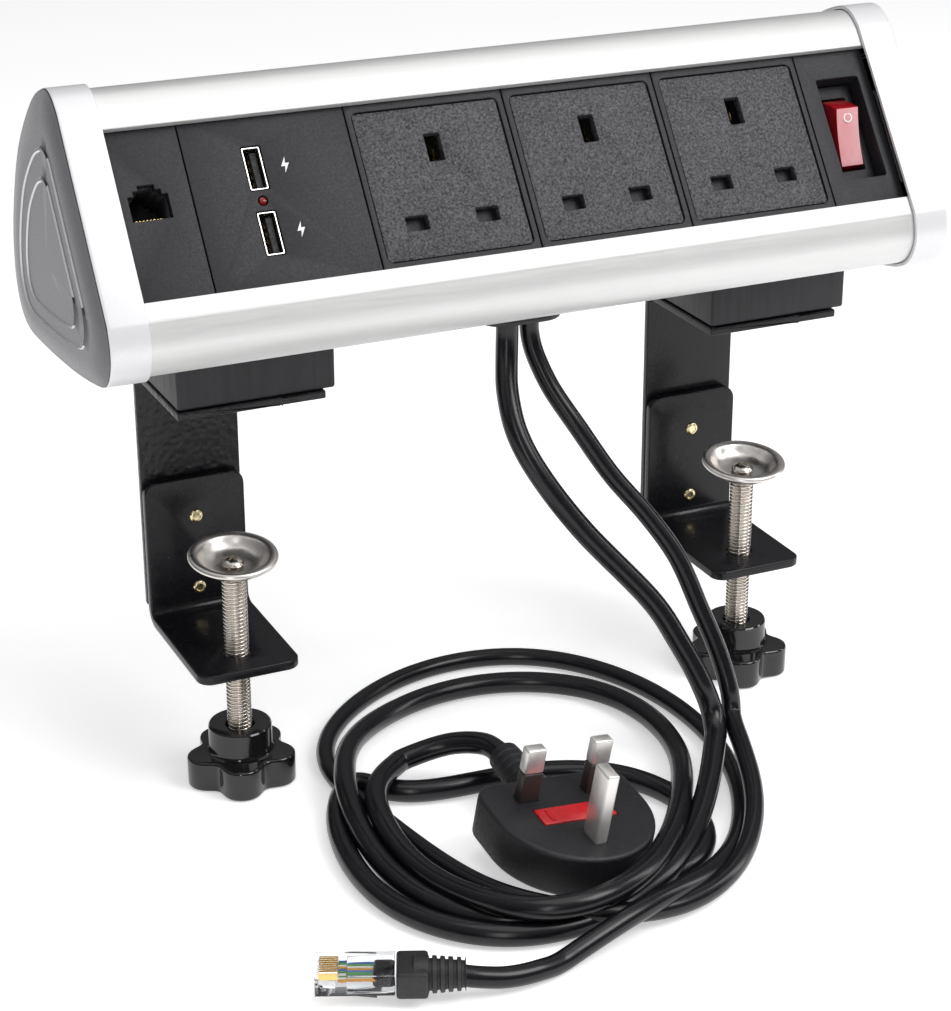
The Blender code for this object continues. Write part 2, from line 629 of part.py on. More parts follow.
def make_cords(unit, mat):
    cord_tube("mains_cord_drop", MAINS_ROUTE, MAINS_D, mat, unit)
    cord_tube("network_cord_drop", NETWORK_ROUTE, NETWORK_D, mat, unit)
    cord_tube("mains_cord_tail", MAINS_TAIL, MAINS_D, mat, unit)
    cord_tube("network_cord_tail", NETWORK_TAIL, NETWORK_D, mat, unit)
    loops = [oval(*COIL_OUTER, 48), oval(*COIL_INNER, 48)]
    add("cord_coil", prism_mesh(loops, 0, COIL_HEIGHT, 3.0), mat, unit)


def plug_outline():
    """UK plug seen on its pins: square at the cord end, round at the earth end."""
    points = []
    for i in range(17):
        a = math.radians(180 + 180 * i / 16)
        points.append((24.8 * math.cos(a), -8.0 + 25.5 * math.sin(a)))
    for sx, start in ((1, 0), (-1, 90)):
        for i in range(4):
            a = math.radians(start + 30 * i)
            points.append((sx * 17.8 + 7.0 * math.cos(a), 2.5 + 7.0 * math.sin(a)))
    return points


def make_plug(unit, black, brass, red):
    frame = empty("plug_frame", unit, PLUG_PLACE, PLUG_TURN)
    body = add("plug_body", prism_mesh([plug_outline()], -PLUG_THICK, 0, 1.5), black, frame)
    along_y = (math.radians(-90), 0, 0)
    combine(body, rod_mesh(6.2, 0, 25.0, 20, 5.0), "UNION", (-1.0, 7.0, -7.6), along_y)
    pins = {"plug_pin_neutral": (-PLUG_PITCH / 2, 0, 6.35, 4.0, 17.7),
            "plug_pin_live": (PLUG_PITCH / 2, 0, 6.35, 4.0, 17.7),
            "plug_pin_earth": (0, -PLUG_PITCH, 4.0, 7.95, 22.7)}
    root = -6.0
    for name, (x, y, w, h, length) in pins.items():
        combine(body, box_mesh((w + 2 * GAP, h + 2 * GAP, 20), (x, y, root - GAP + 10)), "DIFFERENCE")
        pin = add(name, box_mesh((w, h, length - root), (0, 0, (length + root) / 2)), brass, frame,
                  (x, y, 0))
        bevel(pin, 0.7, 1)
    carrier = (24.0, 7.6, 10.4)
    place = (0, -10.2, -4.8)
    combine(body, box_mesh((carrier[0] + 2 * GAP, carrier[1] + 2 * GAP, 20),
                           (place[0], place[1], place[2] - carrier[2] / 2 - GAP + 10)), "DIFFERENCE")
    bevel(add("plug_fuse_carrier", box_mesh(carrier), red, frame, place), 0.5, 1)


def make_network_plug(unit, clear, black):
    """Eight-way plug, contacts up and latch down; x runs from its nose towards the cord."""
    frame = empty("network_plug_frame", unit, JACK_PLUG_PLACE, (0, 0, JACK_PLUG_TURN))
    body = add("network_plug_body", box_mesh((21.4, 11.7, 6.6), (10.7, 0, 0.6)), clear, frame)
    latch = [(1.0, -2.4), (1.0, -3.4), (16.5, -5.2), (16.5, -4.2), (3.2, -2.4)]
    combine(body, prism_mesh([latch], -3.0, 3.0), "UNION", (0, 0, 0), (math.radians(90), 0, 0))
    sleeve = add("network_plug_boot", box_mesh((8.6, 12.4, 8.0), (26.0, 0, 0)), black, frame)
    bevel(sleeve, 1.0, 2)
    taper = rod_mesh(5.4, 0, 13.0, 20, 4.4)
    combine(sleeve, taper, "UNION", (27.4, 0, 0), (0, math.radians(90), 0))


def main():
    clear_scene()
    silver = material("anodised silver", (0.78, 0.78, 0.78), 0.35, 0.8)
    cap_grey = material("silver plastic", (0.45, 0.45, 0.46), 0.4, 0.4)
    black = material("black plastic", (0.02, 0.02, 0.02), 0.4)
    dark = material("speckled black plastic", (0.03, 0.03, 0.03), 0.6)
    steel = material("nickel steel", (0.62, 0.60, 0.57), 0.25, 1.0)
    chrome = material("polished steel", (0.7, 0.68, 0.66), 0.12, 1.0)
    brass = material("brass", (0.83, 0.66, 0.36), 0.3, 1.0)
    wrinkle = material("wrinkle black paint", (0.02, 0.02, 0.022), 0.6)
    satin = material("satin black paint", (0.025, 0.025, 0.025), 0.35)
    red = material("red plastic", (0.6, 0.03, 0.04), 0.3)
    cord = material("black cord sheath", (0.015, 0.015, 0.017), 0.4)
    clear = material("clear plastic", (0.8, 0.85, 0.88), 0.1)
    green = material("circuit board", (0.03, 0.2, 0.08), 0.5)

    unit = empty("unit_frame", None, (0, -ORIGIN_Y, 0))
    face = empty("face_frame", unit, (0, 0, FACE_HEIGHT), (math.pi / 2 - FACE_TILT, 0, 0))

    make_extrusion(face, unit, silver)
    make_end_cap("end_cap_left", -1, face, cap_grey)
    make_end_cap("end_cap_right", 1, face, cap_grey)
    make_data_module(face, black, brass)
    make_usb_module(face, black, steel, green, red)
    for index, x in enumerate(SOCKET_XS, 1):
        make_socket(index, x, face, black, dark)
    half = PLUG_PITCH / 2
    make_bus_bar("earth_bus_bar", 0, EARTH_V, 6.0, 2.6, face, brass)
    make_bus_bar("live_bus_bar", half, LINE_V + 1.6, 2.6, 3.8, face, brass)
    make_bus_bar("neutral_bus_bar", -half, LINE_V - 1.6, 2.6, 3.8, face, brass)
    make_switch_module(face, black, red)
    for side, x in CLAMP_XS.items():
        make_spacer(side, x, unit, black)
        make_brackets(side, x, unit, wrinkle, satin, brass)
        make_clamp_screw(side, x, unit, steel, chrome, black)
    make_grommet(unit, black)
    make_cords(unit, cord)
    make_plug(unit, black, brass, red)
    make_network_plug(unit, clear, black)


main()
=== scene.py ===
"""Looks of the desk power strip: its fine surface, materials, cords, lights and camera.

Every mesh is built in millimetres in the same design frames as the CAD model and then
placed in metres, +Z up, +X along the body, socket face towards -Y.
"""
import json
import math

import bmesh
import bpy
import numpy as np
from mathutils import Euler, Matrix, Vector


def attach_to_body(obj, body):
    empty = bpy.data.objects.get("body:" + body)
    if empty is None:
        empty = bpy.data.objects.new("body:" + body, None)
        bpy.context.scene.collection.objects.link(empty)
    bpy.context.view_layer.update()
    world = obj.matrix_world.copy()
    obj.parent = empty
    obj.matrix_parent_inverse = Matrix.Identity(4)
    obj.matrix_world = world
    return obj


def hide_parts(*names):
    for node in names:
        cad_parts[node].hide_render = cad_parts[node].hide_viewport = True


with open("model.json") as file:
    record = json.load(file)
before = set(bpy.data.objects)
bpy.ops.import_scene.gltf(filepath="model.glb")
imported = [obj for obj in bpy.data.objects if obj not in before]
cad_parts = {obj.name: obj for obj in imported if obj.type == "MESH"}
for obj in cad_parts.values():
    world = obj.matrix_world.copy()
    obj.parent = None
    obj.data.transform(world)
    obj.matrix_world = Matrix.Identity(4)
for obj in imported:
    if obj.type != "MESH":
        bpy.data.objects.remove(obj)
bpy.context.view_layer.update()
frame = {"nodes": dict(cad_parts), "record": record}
BODY_OF = {n: body for body, nodes in frame["record"]["behaviour"]["bodies"].items() for n in nodes}

MM = 0.001
FACE_TILT = math.radians(36.2)
FACE_HEIGHT = 190.0
ORIGIN_Y = 26.0
FRONT_FLAT = 31.0
FRONT_N = 4.0
SIDE_POINTS = [(1.2, 38.5), (-5.5, 42.6), (-20.0, 45.0), (-45.0, 41.5), (-67.0, 30.5),
               (-79.5, 19.0), (-84.0, 8.0), (-80.5, -2.0), (-66.0, -13.0), (-44.0, -27.0),
               (-24.0, -38.0), (-10.0, -43.5), (-0.5, -40.0)]
BODY_INSET = 1.3
BODY_WALL = 2.3
SLOT_HALF = 25.3
WIDE_MODULE = 49.6
NARROW_MODULE = 24.6
MODULE_HEIGHT = 54.0
PLATE_BACK = -2.4
PLATE_EDGE = 0.2
CAP_RIM_X = 122.9
CAP_END_X = 136.5
BODY_END_X = 133.0
MODULE_SHIFT = -1.2
SOCKET_XS = [MODULE_SHIFT + x for x in (-25.0, 25.0, 75.0)]
DATA_X = MODULE_SHIFT - 112.5
USB_X = MODULE_SHIFT - 75.0
SWITCH_X = MODULE_SHIFT + 113.4          # middle of the switch's well
PLUG_PITCH = 22.2
EARTH_V = 10.2
LINE_V = EARTH_V - PLUG_PITCH
ROCKER_N = -8.2
ROCKER_REST = math.radians(20.0)
CLAMP_XS = {"left": -89.0, "right": 89.0}
STRAP_W = 32.6
FLANGE_RIGHT = 30.0
BLOCK_RIGHT = 33.3
JAW_Y = 13.4
JAW_Z = 123.1
UPPER_STEEL = 2.5
LOWER_STEEL = 3.0
LOWER_FRONT_Y = 4.0
LOWER_FACE_Y = 52.0
LOWER_TOP_Z = 88.4
LOWER_FLANGE_Z = 43.5
RIVET_ZS = {"upper": 75.3, "lower": 50.8}
SCREW_Y = 17.7
SCREW_R = 3.85
PIVOT_Z = 71.6
PAD_REST = math.radians(7.0)
HUB_TOP = 19.0
STAR_TOP = 10.0
STAR_PHASE = -0.305
OUTLET_Z = 139.7

UNIT = Matrix.Translation((0, -ORIGIN_Y * MM, 0))
FACE = UNIT @ Matrix.Translation((0, 0, FACE_HEIGHT * MM)) @ Matrix.Rotation(math.pi / 2 - FACE_TILT, 4, "X")


def at(x, y, z):
    return Matrix.Translation((x * MM, y * MM, z * MM))


PLUG = UNIT @ at(-18.7, -64.0, 19.0) @ Euler([math.radians(a) for a in (7, 6, 2)]).to_matrix().to_4x4()
JACK_PLUG = UNIT @ at(-112.0, -105.0, 6.8) @ Matrix.Rotation(math.radians(-23.4), 4, "Z")
# turns an outline drawn as (y, z) upright, with its thickness along x
SIDE = Matrix(((0, 0, 1, 0), (1, 0, 0, 0), (0, 1, 0, 0), (0, 0, 0, 1)))


# ---------------------------------------------------------------- camera, stage and light

FRAME_HEIGHT = 1011.0
FOCAL_PIXELS = 2460.0


def make_camera():
    data = bpy.data.cameras.new("camera")
    camera = bpy.data.objects.new("camera", data)
    bpy.context.scene.collection.objects.link(camera)
    data.sensor_fit = "AUTO"
    data.sensor_width = 36.0
    data.lens = FOCAL_PIXELS / FRAME_HEIGHT * data.sensor_width
    data.shift_x = 0.0011
    data.shift_y = -0.0218
    data.clip_start = 0.01
    camera.location = (-0.3052, -0.6553, 0.3822)
    down, roll, turn = 22.66, 0.13, -24.69
    camera.rotation_euler = (math.radians(90 - down), math.radians(roll), math.radians(turn))
    bpy.context.scene.camera = camera


def make_stage():
    bm = bmesh.new()
    bmesh.ops.create_grid(bm, x_segments=1, y_segments=1, size=6.0)
    mesh = bpy.data.meshes.new("floor")
    bm.to_mesh(mesh)
    bm.free()
    floor = bpy.data.objects.new("floor", mesh)
    floor.location.z = -0.0002
    bpy.context.scene.collection.objects.link(floor)
    mat = bpy.data.materials.new("floor white")
    mat.use_nodes = True
    shader = mat.node_tree.nodes["Principled BSDF"]
    shader.inputs["Base Color"].default_value = (0.93, 0.93, 0.935, 1)
    shader.inputs["Roughness"].default_value = 0.75
    shader.inputs["Emission Color"].default_value = (1, 1, 1, 1)
    shader.inputs["Emission Strength"].default_value = 0.46
    mesh.materials.append(mat)


def area_light(name, place, target, size, watts, size_y=None):
    data = bpy.data.lights.new(name, "AREA")
    data.shape = "RECTANGLE"
    data.size = size
    data.size_y = size_y or size
    data.energy = watts
    lamp = bpy.data.objects.new(name, data)
    bpy.context.scene.collection.objects.link(lamp)
    lamp.location = place
    lamp.rotation_euler = (Vector(target) - Vector(place)).to_track_quat("-Z", "Y").to_euler()
    return lamp


def make_light():
    world = bpy.data.worlds.new("studio")
    bpy.context.scene.world = world
    world.use_nodes = True
    tree = world.node_tree
    background = tree.nodes["Background"]
    coords = tree.nodes.new("ShaderNodeTexCoord")
    split = tree.nodes.new("ShaderNodeSeparateXYZ")
    ramp = tree.nodes.new("ShaderNodeValToRGB")
    path = tree.nodes.new("ShaderNodeLightPath")
    mix = tree.nodes.new("ShaderNodeMix")
    mix.data_type = "RGBA"
    tree.links.new(coords.outputs["Generated"], split.inputs["Vector"])
    tree.links.new(split.outputs["Z"], ramp.inputs["Fac"])
    stops = ((0.0, 0.10), (0.15, 0.16), (0.45, 0.5), (0.8, 1.0))
    while len(ramp.color_ramp.elements) < len(stops):
        ramp.color_ramp.elements.new(0.5)
    for element, (place, level) in zip(ramp.color_ramp.elements, stops):
        element.position = place
        element.color = (level, level, level * 1.01, 1)
    tree.links.new(path.outputs["Is Camera Ray"], mix.inputs["Factor"])
    tree.links.new(ramp.outputs["Color"], mix.inputs["A"])
    mix.inputs["B"].default_value = (2.5, 2.5, 2.5, 1)
    tree.links.new(mix.outputs["Result"], background.inputs["Color"])
    background.inputs["Strength"].default_value = 0.42
    middle = (0, 0, 0.1)
    area_light("key softbox", (0.65, -0.85, 1.15), middle, 0.7, 10)
    area_light("top softbox", (0.1, -0.25, 1.6), middle, 1.3, 7.4)
    area_light("left strip", (-0.55, -1.0, 0.5), middle, 0.12, 1.6, 0.7)
    area_light("right strip", (1.0, -0.25, 0.45), (0.05, 0, 0.1), 0.15, 2.0, 0.8)


# ---------------------------------------------------------------- materials

def surface(name, colour, rough, metal=0.0, shades=None, fine=(900, (1, 1, 1)), bumps=(), **sockets):
    """A Principled material. rough is a pair of limits that a fine noise moves between; shades is
    (second colour, scale, stretch, contrast); each bump is (texture, scale, stretch, strength, depth in
    mm)."""
    mat = bpy.data.materials.new(name)
    mat.use_nodes = True
    tree = mat.node_tree
    links = tree.links
    shader = tree.nodes["Principled BSDF"]
    coords = tree.nodes.new("ShaderNodeTexCoord")

    def texture(kind, scale, stretch):
        mapping = tree.nodes.new("ShaderNodeMapping")
        mapping.inputs["Scale"].default_value = stretch
        links.new(coords.outputs["Object"], mapping.inputs["Vector"])
        if kind == "cells":
            node = tree.nodes.new("ShaderNodeTexVoronoi")
            node.feature = "SMOOTH_F1"
            output = node.outputs["Distance"]
        else:
            node = tree.nodes.new("ShaderNodeTexNoise")
            node.inputs["Detail"].default_value = 4.0
            output = node.outputs["Fac"]
        node.inputs["Scale"].default_value = scale
        links.new(mapping.outputs["Vector"], node.inputs["Vector"])
        return output

    def remap(socket, low, high, from_low=0.3, from_high=0.7):
        node = tree.nodes.new("ShaderNodeMapRange")
        node.inputs["From Min"].default_value = from_low
        node.inputs["From Max"].default_value = from_high
        node.inputs["To Min"].default_value = low
        node.inputs["To Max"].default_value = high
        links.new(socket, node.inputs["Value"])
        return node.outputs["Result"]

    shader.inputs["Metallic"].default_value = metal
    links.new(remap(texture("noise", *fine), *rough), shader.inputs["Roughness"])
    if shades:
        second, scale, stretch, contrast = shades
        mix = tree.nodes.new("ShaderNodeMix")
        mix.data_type = "RGBA"
        mix.inputs["A"].default_value = (*colour, 1)
        mix.inputs["B"].default_value = (*second, 1)
        half = 0.5 / contrast
        links.new(remap(texture("noise", scale, stretch), 0, 1, 0.5 - half, 0.5 + half), mix.inputs["Factor"])
        links.new(mix.outputs["Result"], shader.inputs["Base Color"])
    else:
        shader.inputs["Base Color"].default_value = (*colour, 1)
    normal = None
    for kind, scale, stretch, strength, depth in bumps:
        bump = tree.nodes.new("ShaderNodeBump")
        bump.inputs["Strength"].default_value = strength
        bump.inputs["Distance"].default_value = depth * MM
        links.new(texture(kind, scale, stretch), bump.inputs["Height"])
        if normal:
            links.new(normal, bump.inputs["Normal"])
        normal = bump.outputs["Normal"]
    if normal:
        links.new(normal, shader.inputs["Normal"])
    for key, value in sockets.items():
        shader.inputs[key.replace("_", " ")].default_value = value
    return mat


ALONG = (0.03, 1, 1)
MATS = {
    "silver": surface("anodised silver", (0.72, 0.72, 0.71), (0.42, 0.52), 0.65,
                      ((0.68, 0.68, 0.675), 1400, ALONG, 1.2), (2200, ALONG),
                      [("noise", 2600, ALONG, 0.10, 0.03)]),
    "cap": surface("silver plastic", (0.80, 0.80, 0.815), (0.34, 0.42), 0.25,
                   ((0.72, 0.72, 0.735), 2600, (1, 1, 1), 1.5), (1800, (1, 1, 1)),
                   [("noise", 2400, (1, 1, 1), 0.08, 0.02)]),
    # painted shade: a dark, shinier copy of the cap's silver plastic for the caps' end faces, standing in for
    # the shade those faces lie in
    "cap painted shade": surface("silver plastic painted shade", (0.10, 0.10, 0.112), (0.26, 0.34), 0.8,
                        ((0.075, 0.075, 0.084), 2200, (1, 1, 1), 1.5), (1800, (1, 1, 1)),
                        [("noise", 2400, (1, 1, 1), 0.08, 0.02)]),
    "module": surface("module black", (0.013, 0.013, 0.016), (0.42, 0.56), 0.0,
                      ((0.024, 0.024, 0.028), 1100, (1, 1, 1), 1.6), (1500, (1, 1, 1)),
                      [("noise", 1300, (1, 1, 1), 0.4, 0.06)], Specular_IOR_Level=0.3),
    "speckle": surface("speckled black", (0.006, 0.006, 0.008), (0.34, 0.60), 0.0,
                       ((0.090, 0.090, 0.098), 1500, (1, 1, 1), 3.0), (1000, (1, 1, 1)),
                       [("cells", 1200, (1, 1, 1), 0.8, 0.14)], Specular_IOR_Level=0.3),
    "dark": surface("inner black", (0.008, 0.008, 0.008), (0.5, 0.7)),
    "steel": surface("sheet steel", (0.66, 0.65, 0.63), (0.20, 0.34), 1.0, None, (900, (1, 1, 0.1)),
                     [("noise", 1500, (1, 1, 0.1), 0.1, 0.02)]),
    "gold": surface("gold contact", (0.86, 0.62, 0.22), (0.18, 0.30), 1.0),
    "board": surface("circuit board", (0.02, 0.16, 0.06), (0.3, 0.5), 0.0,
                     ((0.03, 0.24, 0.09), 300, (1, 1, 1), 2)),
    "lamp": surface("red lamp", (0.30, 0.012, 0.012), (0.08, 0.15), 0.0, Transmission_Weight=0.4),
    "brass": surface("brass", (0.72, 0.52, 0.22), (0.20, 0.36), 1.0,
                     ((0.60, 0.42, 0.17), 400, (1, 1, 1), 1.5)),
    "rocker": surface("red rocker", (0.52, 0.012, 0.02), (0.10, 0.18), 0.0,
                      ((0.40, 0.008, 0.014), 150, (1, 1, 1), 1.5),
                      bumps=[("noise", 500, (1, 1, 1), 0.06, 0.05)], Transmission_Weight=0.25,
                      Coat_Weight=0.6, Coat_Roughness=0.08),
    # painted highlight: a pale pink glossy copy of the red rocker plastic for its top face, standing in for
    # the softbox light reflected there
    "rocker painted highlight": surface("rocker painted highlight", (0.86, 0.52, 0.53), (0.08, 0.16), 0.0,
                           ((0.66, 0.20, 0.22), 90, (1, 0.5, 0.5), 1.5),
                           Coat_Weight=0.8, Coat_Roughness=0.05),
    "spacer": surface("spacer grey", (0.014, 0.014, 0.016), (0.36, 0.50), 0.0,
                      ((0.027, 0.027, 0.030), 500, (1, 1, 0.06), 1.5), (700, (1, 1, 0.08)),
                      [("noise", 900, (1, 1, 0.08), 0.12, 0.05)], Specular_IOR_Level=0.3),
    "wrinkle": surface("wrinkle paint", (0.006, 0.006, 0.008), (0.26, 0.40), 0.0,
                       ((0.012, 0.012, 0.014), 700, (1, 1, 1), 1.5), (700, (1, 1, 1)),
                       [("cells", 520, (1, 0.7, 1), 0.75, 0.38), ("noise", 900, (1, 1, 1), 0.3, 0.12)],
                       Specular_IOR_Level=0.35),
    "satin": surface("satin paint", (0.006, 0.006, 0.008), (0.18, 0.28), 0.0,
                     ((0.010, 0.010, 0.012), 300, (1, 1, 1), 1.5), (500, (1, 1, 1)),
                     [("noise", 700, (1, 1, 1), 0.10, 0.10), ("noise", 120, (1, 1, 1), 0.15, 0.2)],
                     Specular_IOR_Level=0.3),
    "rivet": surface("pale brass", (0.82, 0.70, 0.44), (0.16, 0.30), 1.0),
    "nickel": surface("nickel plate", (0.74, 0.70, 0.65), (0.14, 0.26), 1.0,
                      ((0.62, 0.57, 0.51), 600, (1, 1, 1), 1.4)),
    "cup": surface("pressed steel", (0.92, 0.89, 0.86), (0.27, 0.38), 1.0,
                   ((0.68, 0.64, 0.61), 90, (1, 1, 1), 1.6), (350, (1, 1, 1)),
                   [("noise", 160, (1, 1, 1), 0.12, 0.35)]),
    "knob": surface("gloss black", (0.008, 0.008, 0.009), (0.07, 0.12), 0.0, None, (600, (1, 1, 1)),
                    [("noise", 160, (1, 1, 1), 0.04, 0.15)], Coat_Weight=0.2, Coat_Roughness=0.04),
    "rubber": surface("soft black", (0.014, 0.014, 0.015), (0.45, 0.60), 0.0,
                      ((0.022, 0.022, 0.024), 600, (1, 1, 1), 1.5),
                      bumps=[("noise", 1200, (1, 1, 1), 0.2, 0.05)]),
    "sheath": surface("cord sheath", (0.003, 0.003, 0.005), (0.22, 0.27), 0.0,
                      ((0.007, 0.007, 0.009), 500, (1, 1, 1), 1.5), (700, (1, 1, 1)),
                      [("noise", 1100, (1, 1, 1), 0.05, 0.03)], Specular_IOR_Level=0.4),
    "plug": surface("pebbled black", (0.007, 0.007, 0.009), (0.42, 0.58), 0.0,
                    ((0.013, 0.013, 0.016), 900, (1, 1, 1), 1.5), (1100, (1, 1, 1)),
                    [("cells", 1200, (1, 1, 1), 0.5, 0.10)]),
    "pin": surface("pin nickel", (0.86, 0.84, 0.81), (0.30, 0.40), 0.8,
                   ((0.80, 0.78, 0.75), 900, (1, 1, 0.1), 1.2),
                   (700, (1, 1, 0.1))),
    "sleeve": surface("pin sleeve", (0.030, 0.022, 0.020), (0.3, 0.42)),
    "fuse": surface("red fuse carrier", (0.62, 0.02, 0.025), (0.24, 0.36), 0.0,
                    ((0.50, 0.015, 0.02), 500, (1, 1, 1), 1.5),
                    bumps=[("noise", 900, (1, 1, 1), 0.15, 0.06)]),
    "clear": surface("clear plastic", (0.97, 0.98, 0.99), (0.03, 0.07), 0.0,
                     Transmission_Weight=1.0, IOR=1.22),
    "white": surface("white print", (0.85, 0.85, 0.85), (0.4, 0.5)),
}


# ---------------------------------------------------------------- mesh tools

def box_mesh(size, centre=(0, 0, 0)):
    bm = bmesh.new()
    bmesh.ops.create_cube(bm, size=1.0)
    bmesh.ops.scale(bm, vec=Vector(size) * MM, verts=bm.verts)
    bmesh.ops.translate(bm, vec=Vector(centre) * MM, verts=bm.verts)
    return finish(bm)


def finish(bm):
    bmesh.ops.recalc_face_normals(bm, faces=bm.faces)
    mesh = bpy.data.meshes.new("mesh")
    bm.to_mesh(mesh)
    bm.free()
    return mesh


def smooth_path(points, per_span, before=None, after=None):
    """Points of a Catmull-Rom curve through the given points."""
    rows = [Vector(p) for p in points]
    first = Vector(before) if before else rows[0] * 2 - rows[1]
    last = Vector(after) if after else rows[-1] * 2 - rows[-2]
    rows = [first] + rows + [last]
    path = []
    for i in range(1, len(rows) - 2):
        a, b, c, d = rows[i - 1:i + 3]
        for k in range(per_span):
            t = k / per_span
            path.append((b * 2 + (c - a) * t + (a * 2 - b * 5 + c * 4 - d) * t * t
                         + (b * 3 - a - c * 3 + d) * t ** 3) / 2)
    path.append(rows[-2])
    return path


def prism_mesh(loops, low, high, round_edge=0.0, steps=3):
    """A flat outline, with holes if it has more loops, from height low to height high."""
    curve = bpy.data.curves.new("outline", "CURVE")
    curve.dimensions = "2D"
    curve.fill_mode = "BOTH"
    curve.extrude = ((high - low) / 2 - round_edge) * MM
    curve.bevel_depth = round_edge * MM
    curve.bevel_resolution = steps
    curve.offset = -round_edge * MM
    for loop in loops:
        spline = curve.splines.new("POLY")
        spline.points.add(len(loop) - 1)
        for point, (a, b) in zip(spline.points, loop):
            point.co = (a * MM, b * MM, 0, 1)
        spline.use_cyclic_u = True
    holder = bpy.data.objects.new("holder", curve)
    bpy.context.scene.collection.objects.link(holder)
    graph = bpy.context.evaluated_depsgraph_get()
    mesh = bpy.data.meshes.new_from_object(holder.evaluated_get(graph))
    bpy.data.objects.remove(holder, do_unlink=True)
    bm = bmesh.new()
    bm.from_mesh(mesh)
    bmesh.ops.remove_doubles(bm, verts=bm.verts, dist=1e-7)
    bmesh.ops.dissolve_limit(bm, angle_limit=math.radians(0.5), verts=bm.verts, edges=bm.edges,
                             use_dissolve_boundaries=False, delimit=set())
    bmesh.ops.translate(bm, vec=(0, 0, (low + high) / 2 * MM), verts=bm.verts)
    return finish(bm)


def rectangle(width, height, centre=(0, 0), radius=0.0, steps=6):
    cx, cy = centre
    if radius == 0.0:
        radius, steps = 1e-3, 0
    points = []
    for sx, sy, start in ((1, 1, 0), (-1, 1, 90), (-1, -1, 180), (1, -1, 270)):
        for i in range(steps + 1):
            angle = math.radians(start + (90 * i / steps if steps else 45))
            points.append((cx + sx * (width / 2 - radius) + radius * math.cos(angle),
                           cy + sy * (height / 2 - radius) + radius * math.sin(angle)))
    return points


def ellipse(half_a, half_b, centre=(0, 0), count=32):
    step = 2 * math.pi / count
    return [(centre[0] + half_a * math.cos(i * step), centre[1] + half_b * math.sin(i * step))
            for i in range(count)]


def lathe_mesh(profile, steps=64, closed=False, radius_of=None):
    """Turned mesh about Z. profile is (radius, height); radius_of(r, z, angle) may shape it further."""
    bm = bmesh.new()
    rings = []
    for r, z in profile:
        if r < 1e-6:
            rings.append([bm.verts.new((0, 0, z * MM))])
            continue
        ring = []
        for k in range(steps):
            angle = 2 * math.pi * k / steps
            radius = radius_of(r, z, angle) if radius_of else r
            ring.append(bm.verts.new((radius * math.cos(angle) * MM, radius * math.sin(angle) * MM, z * MM)))
        rings.append(ring)
    pairs = list(zip(rings, rings[1:]))
    if closed:
        pairs.append((rings[-1], rings[0]))
    for a, b in pairs:
        for k in range(steps):
            j = (k + 1) % steps
            if len(a) == 1 and len(b) > 1:
                bm.faces.new((a[0], b[j], b[k]))
            elif len(b) == 1 and len(a) > 1:
                bm.faces.new((a[k], a[j], b[0]))
            elif len(a) > 1:
                bm.faces.new((a[k], a[j], b[j], b[k]))
    return finish(bm)


def loft_mesh(rings, cap_low=True, cap_high=True):
    """Closed rings of points in millimetres, joined in order."""
    bm = bmesh.new()
    rows = [[bm.verts.new(Vector(p) * MM) for p in ring] for ring in rings]
    count = len(rows[0])
    for a, b in zip(rows, rows[1:]):
        for i in range(count):
            j = (i + 1) % count
            bm.faces.new((a[i], a[j], b[j], b[i]))
    if cap_low:
        bm.faces.new(rows[0])
    if cap_high:
        bm.faces.new(rows[-1])
    return finish(bm)


def joined(*meshes):
    bm = bmesh.new()
    for mesh in meshes:
        bm.from_mesh(mesh)
    mesh = bpy.data.meshes.new("mesh")
    bm.to_mesh(mesh)
    bm.free()
    return mesh


def moved(mesh, matrix):
    mesh.transform(matrix)
    return mesh


def modified(mesh, *changes):
    """The mesh after modifiers; each change is (type, {setting: value})."""
    obj = bpy.data.objects.new("working", mesh)
    bpy.context.scene.collection.objects.link(obj)
    for kind, settings in changes:
        mod = obj.modifiers.new(kind.lower(), kind)
        for key, value in settings.items():
            setattr(mod, key, value)
    graph = bpy.context.evaluated_depsgraph_get()
    result = bpy.data.meshes.new_from_object(obj.evaluated_get(graph))
    bpy.data.objects.remove(obj, do_unlink=True)
    return result


def cut(mesh, *tools, operation="DIFFERENCE"):
    for tool in tools:
        cutter = bpy.data.objects.new("cutter", tool)
        bpy.context.scene.collection.objects.link(cutter)
        mesh = modified(mesh, ("BOOLEAN", {"operation": operation, "solver": "EXACT", "object": cutter}))
        bpy.data.objects.remove(cutter, do_unlink=True)
    return mesh


def rounded(mesh, width, segments=2, angle=30):
    mesh.shade_smooth()
    return modified(mesh, ("BEVEL", {"width": width * MM, "segments": segments, "limit_method": "ANGLE",
                                     "angle_limit": math.radians(angle)}))


def piece(name, mesh, place, mat, *nodes, body=None, smooth=35, slot=None):
    """A visible piece in the row frame that stands for the CAD nodes named, or where neither nodes nor a
    body are given, for the node of its own name."""
    if not nodes and body is None:
        nodes = (name,)
    mesh.transform(place)
    if place.determinant() < 0:
        mesh.flip_normals()
    mesh.materials.clear()
    mesh.materials.append(MATS[mat])
    if smooth is not None:
        mesh.shade_smooth()
        mesh.set_sharp_from_angle(angle=math.radians(smooth))
    obj = bpy.data.objects.new(name, mesh)
    bpy.context.scene.collection.objects.link(obj)
    return attach(obj, nodes, body)


def attach(obj, nodes, body=None):
    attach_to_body(obj, body or BODY_OF[nodes[0]])
    if nodes:
        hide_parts(*nodes)
    return obj


def dress(node, mat, edge=0.0, segments=2):
    """A CAD node that keeps its shape: its material, and softened edges."""
    obj = frame["nodes"][node]
    for slot in obj.material_slots:
        slot.material = MATS[mat]
    if edge:
        weld = obj.modifiers.new("weld", "WELD")
        weld.merge_threshold = 1e-6
        mod = obj.modifiers.new("round", "BEVEL")
        mod.width = edge * MM
        mod.segments = segments
        mod.limit_method = "ANGLE"
    return obj


# ---------------------------------------------------------------- cords

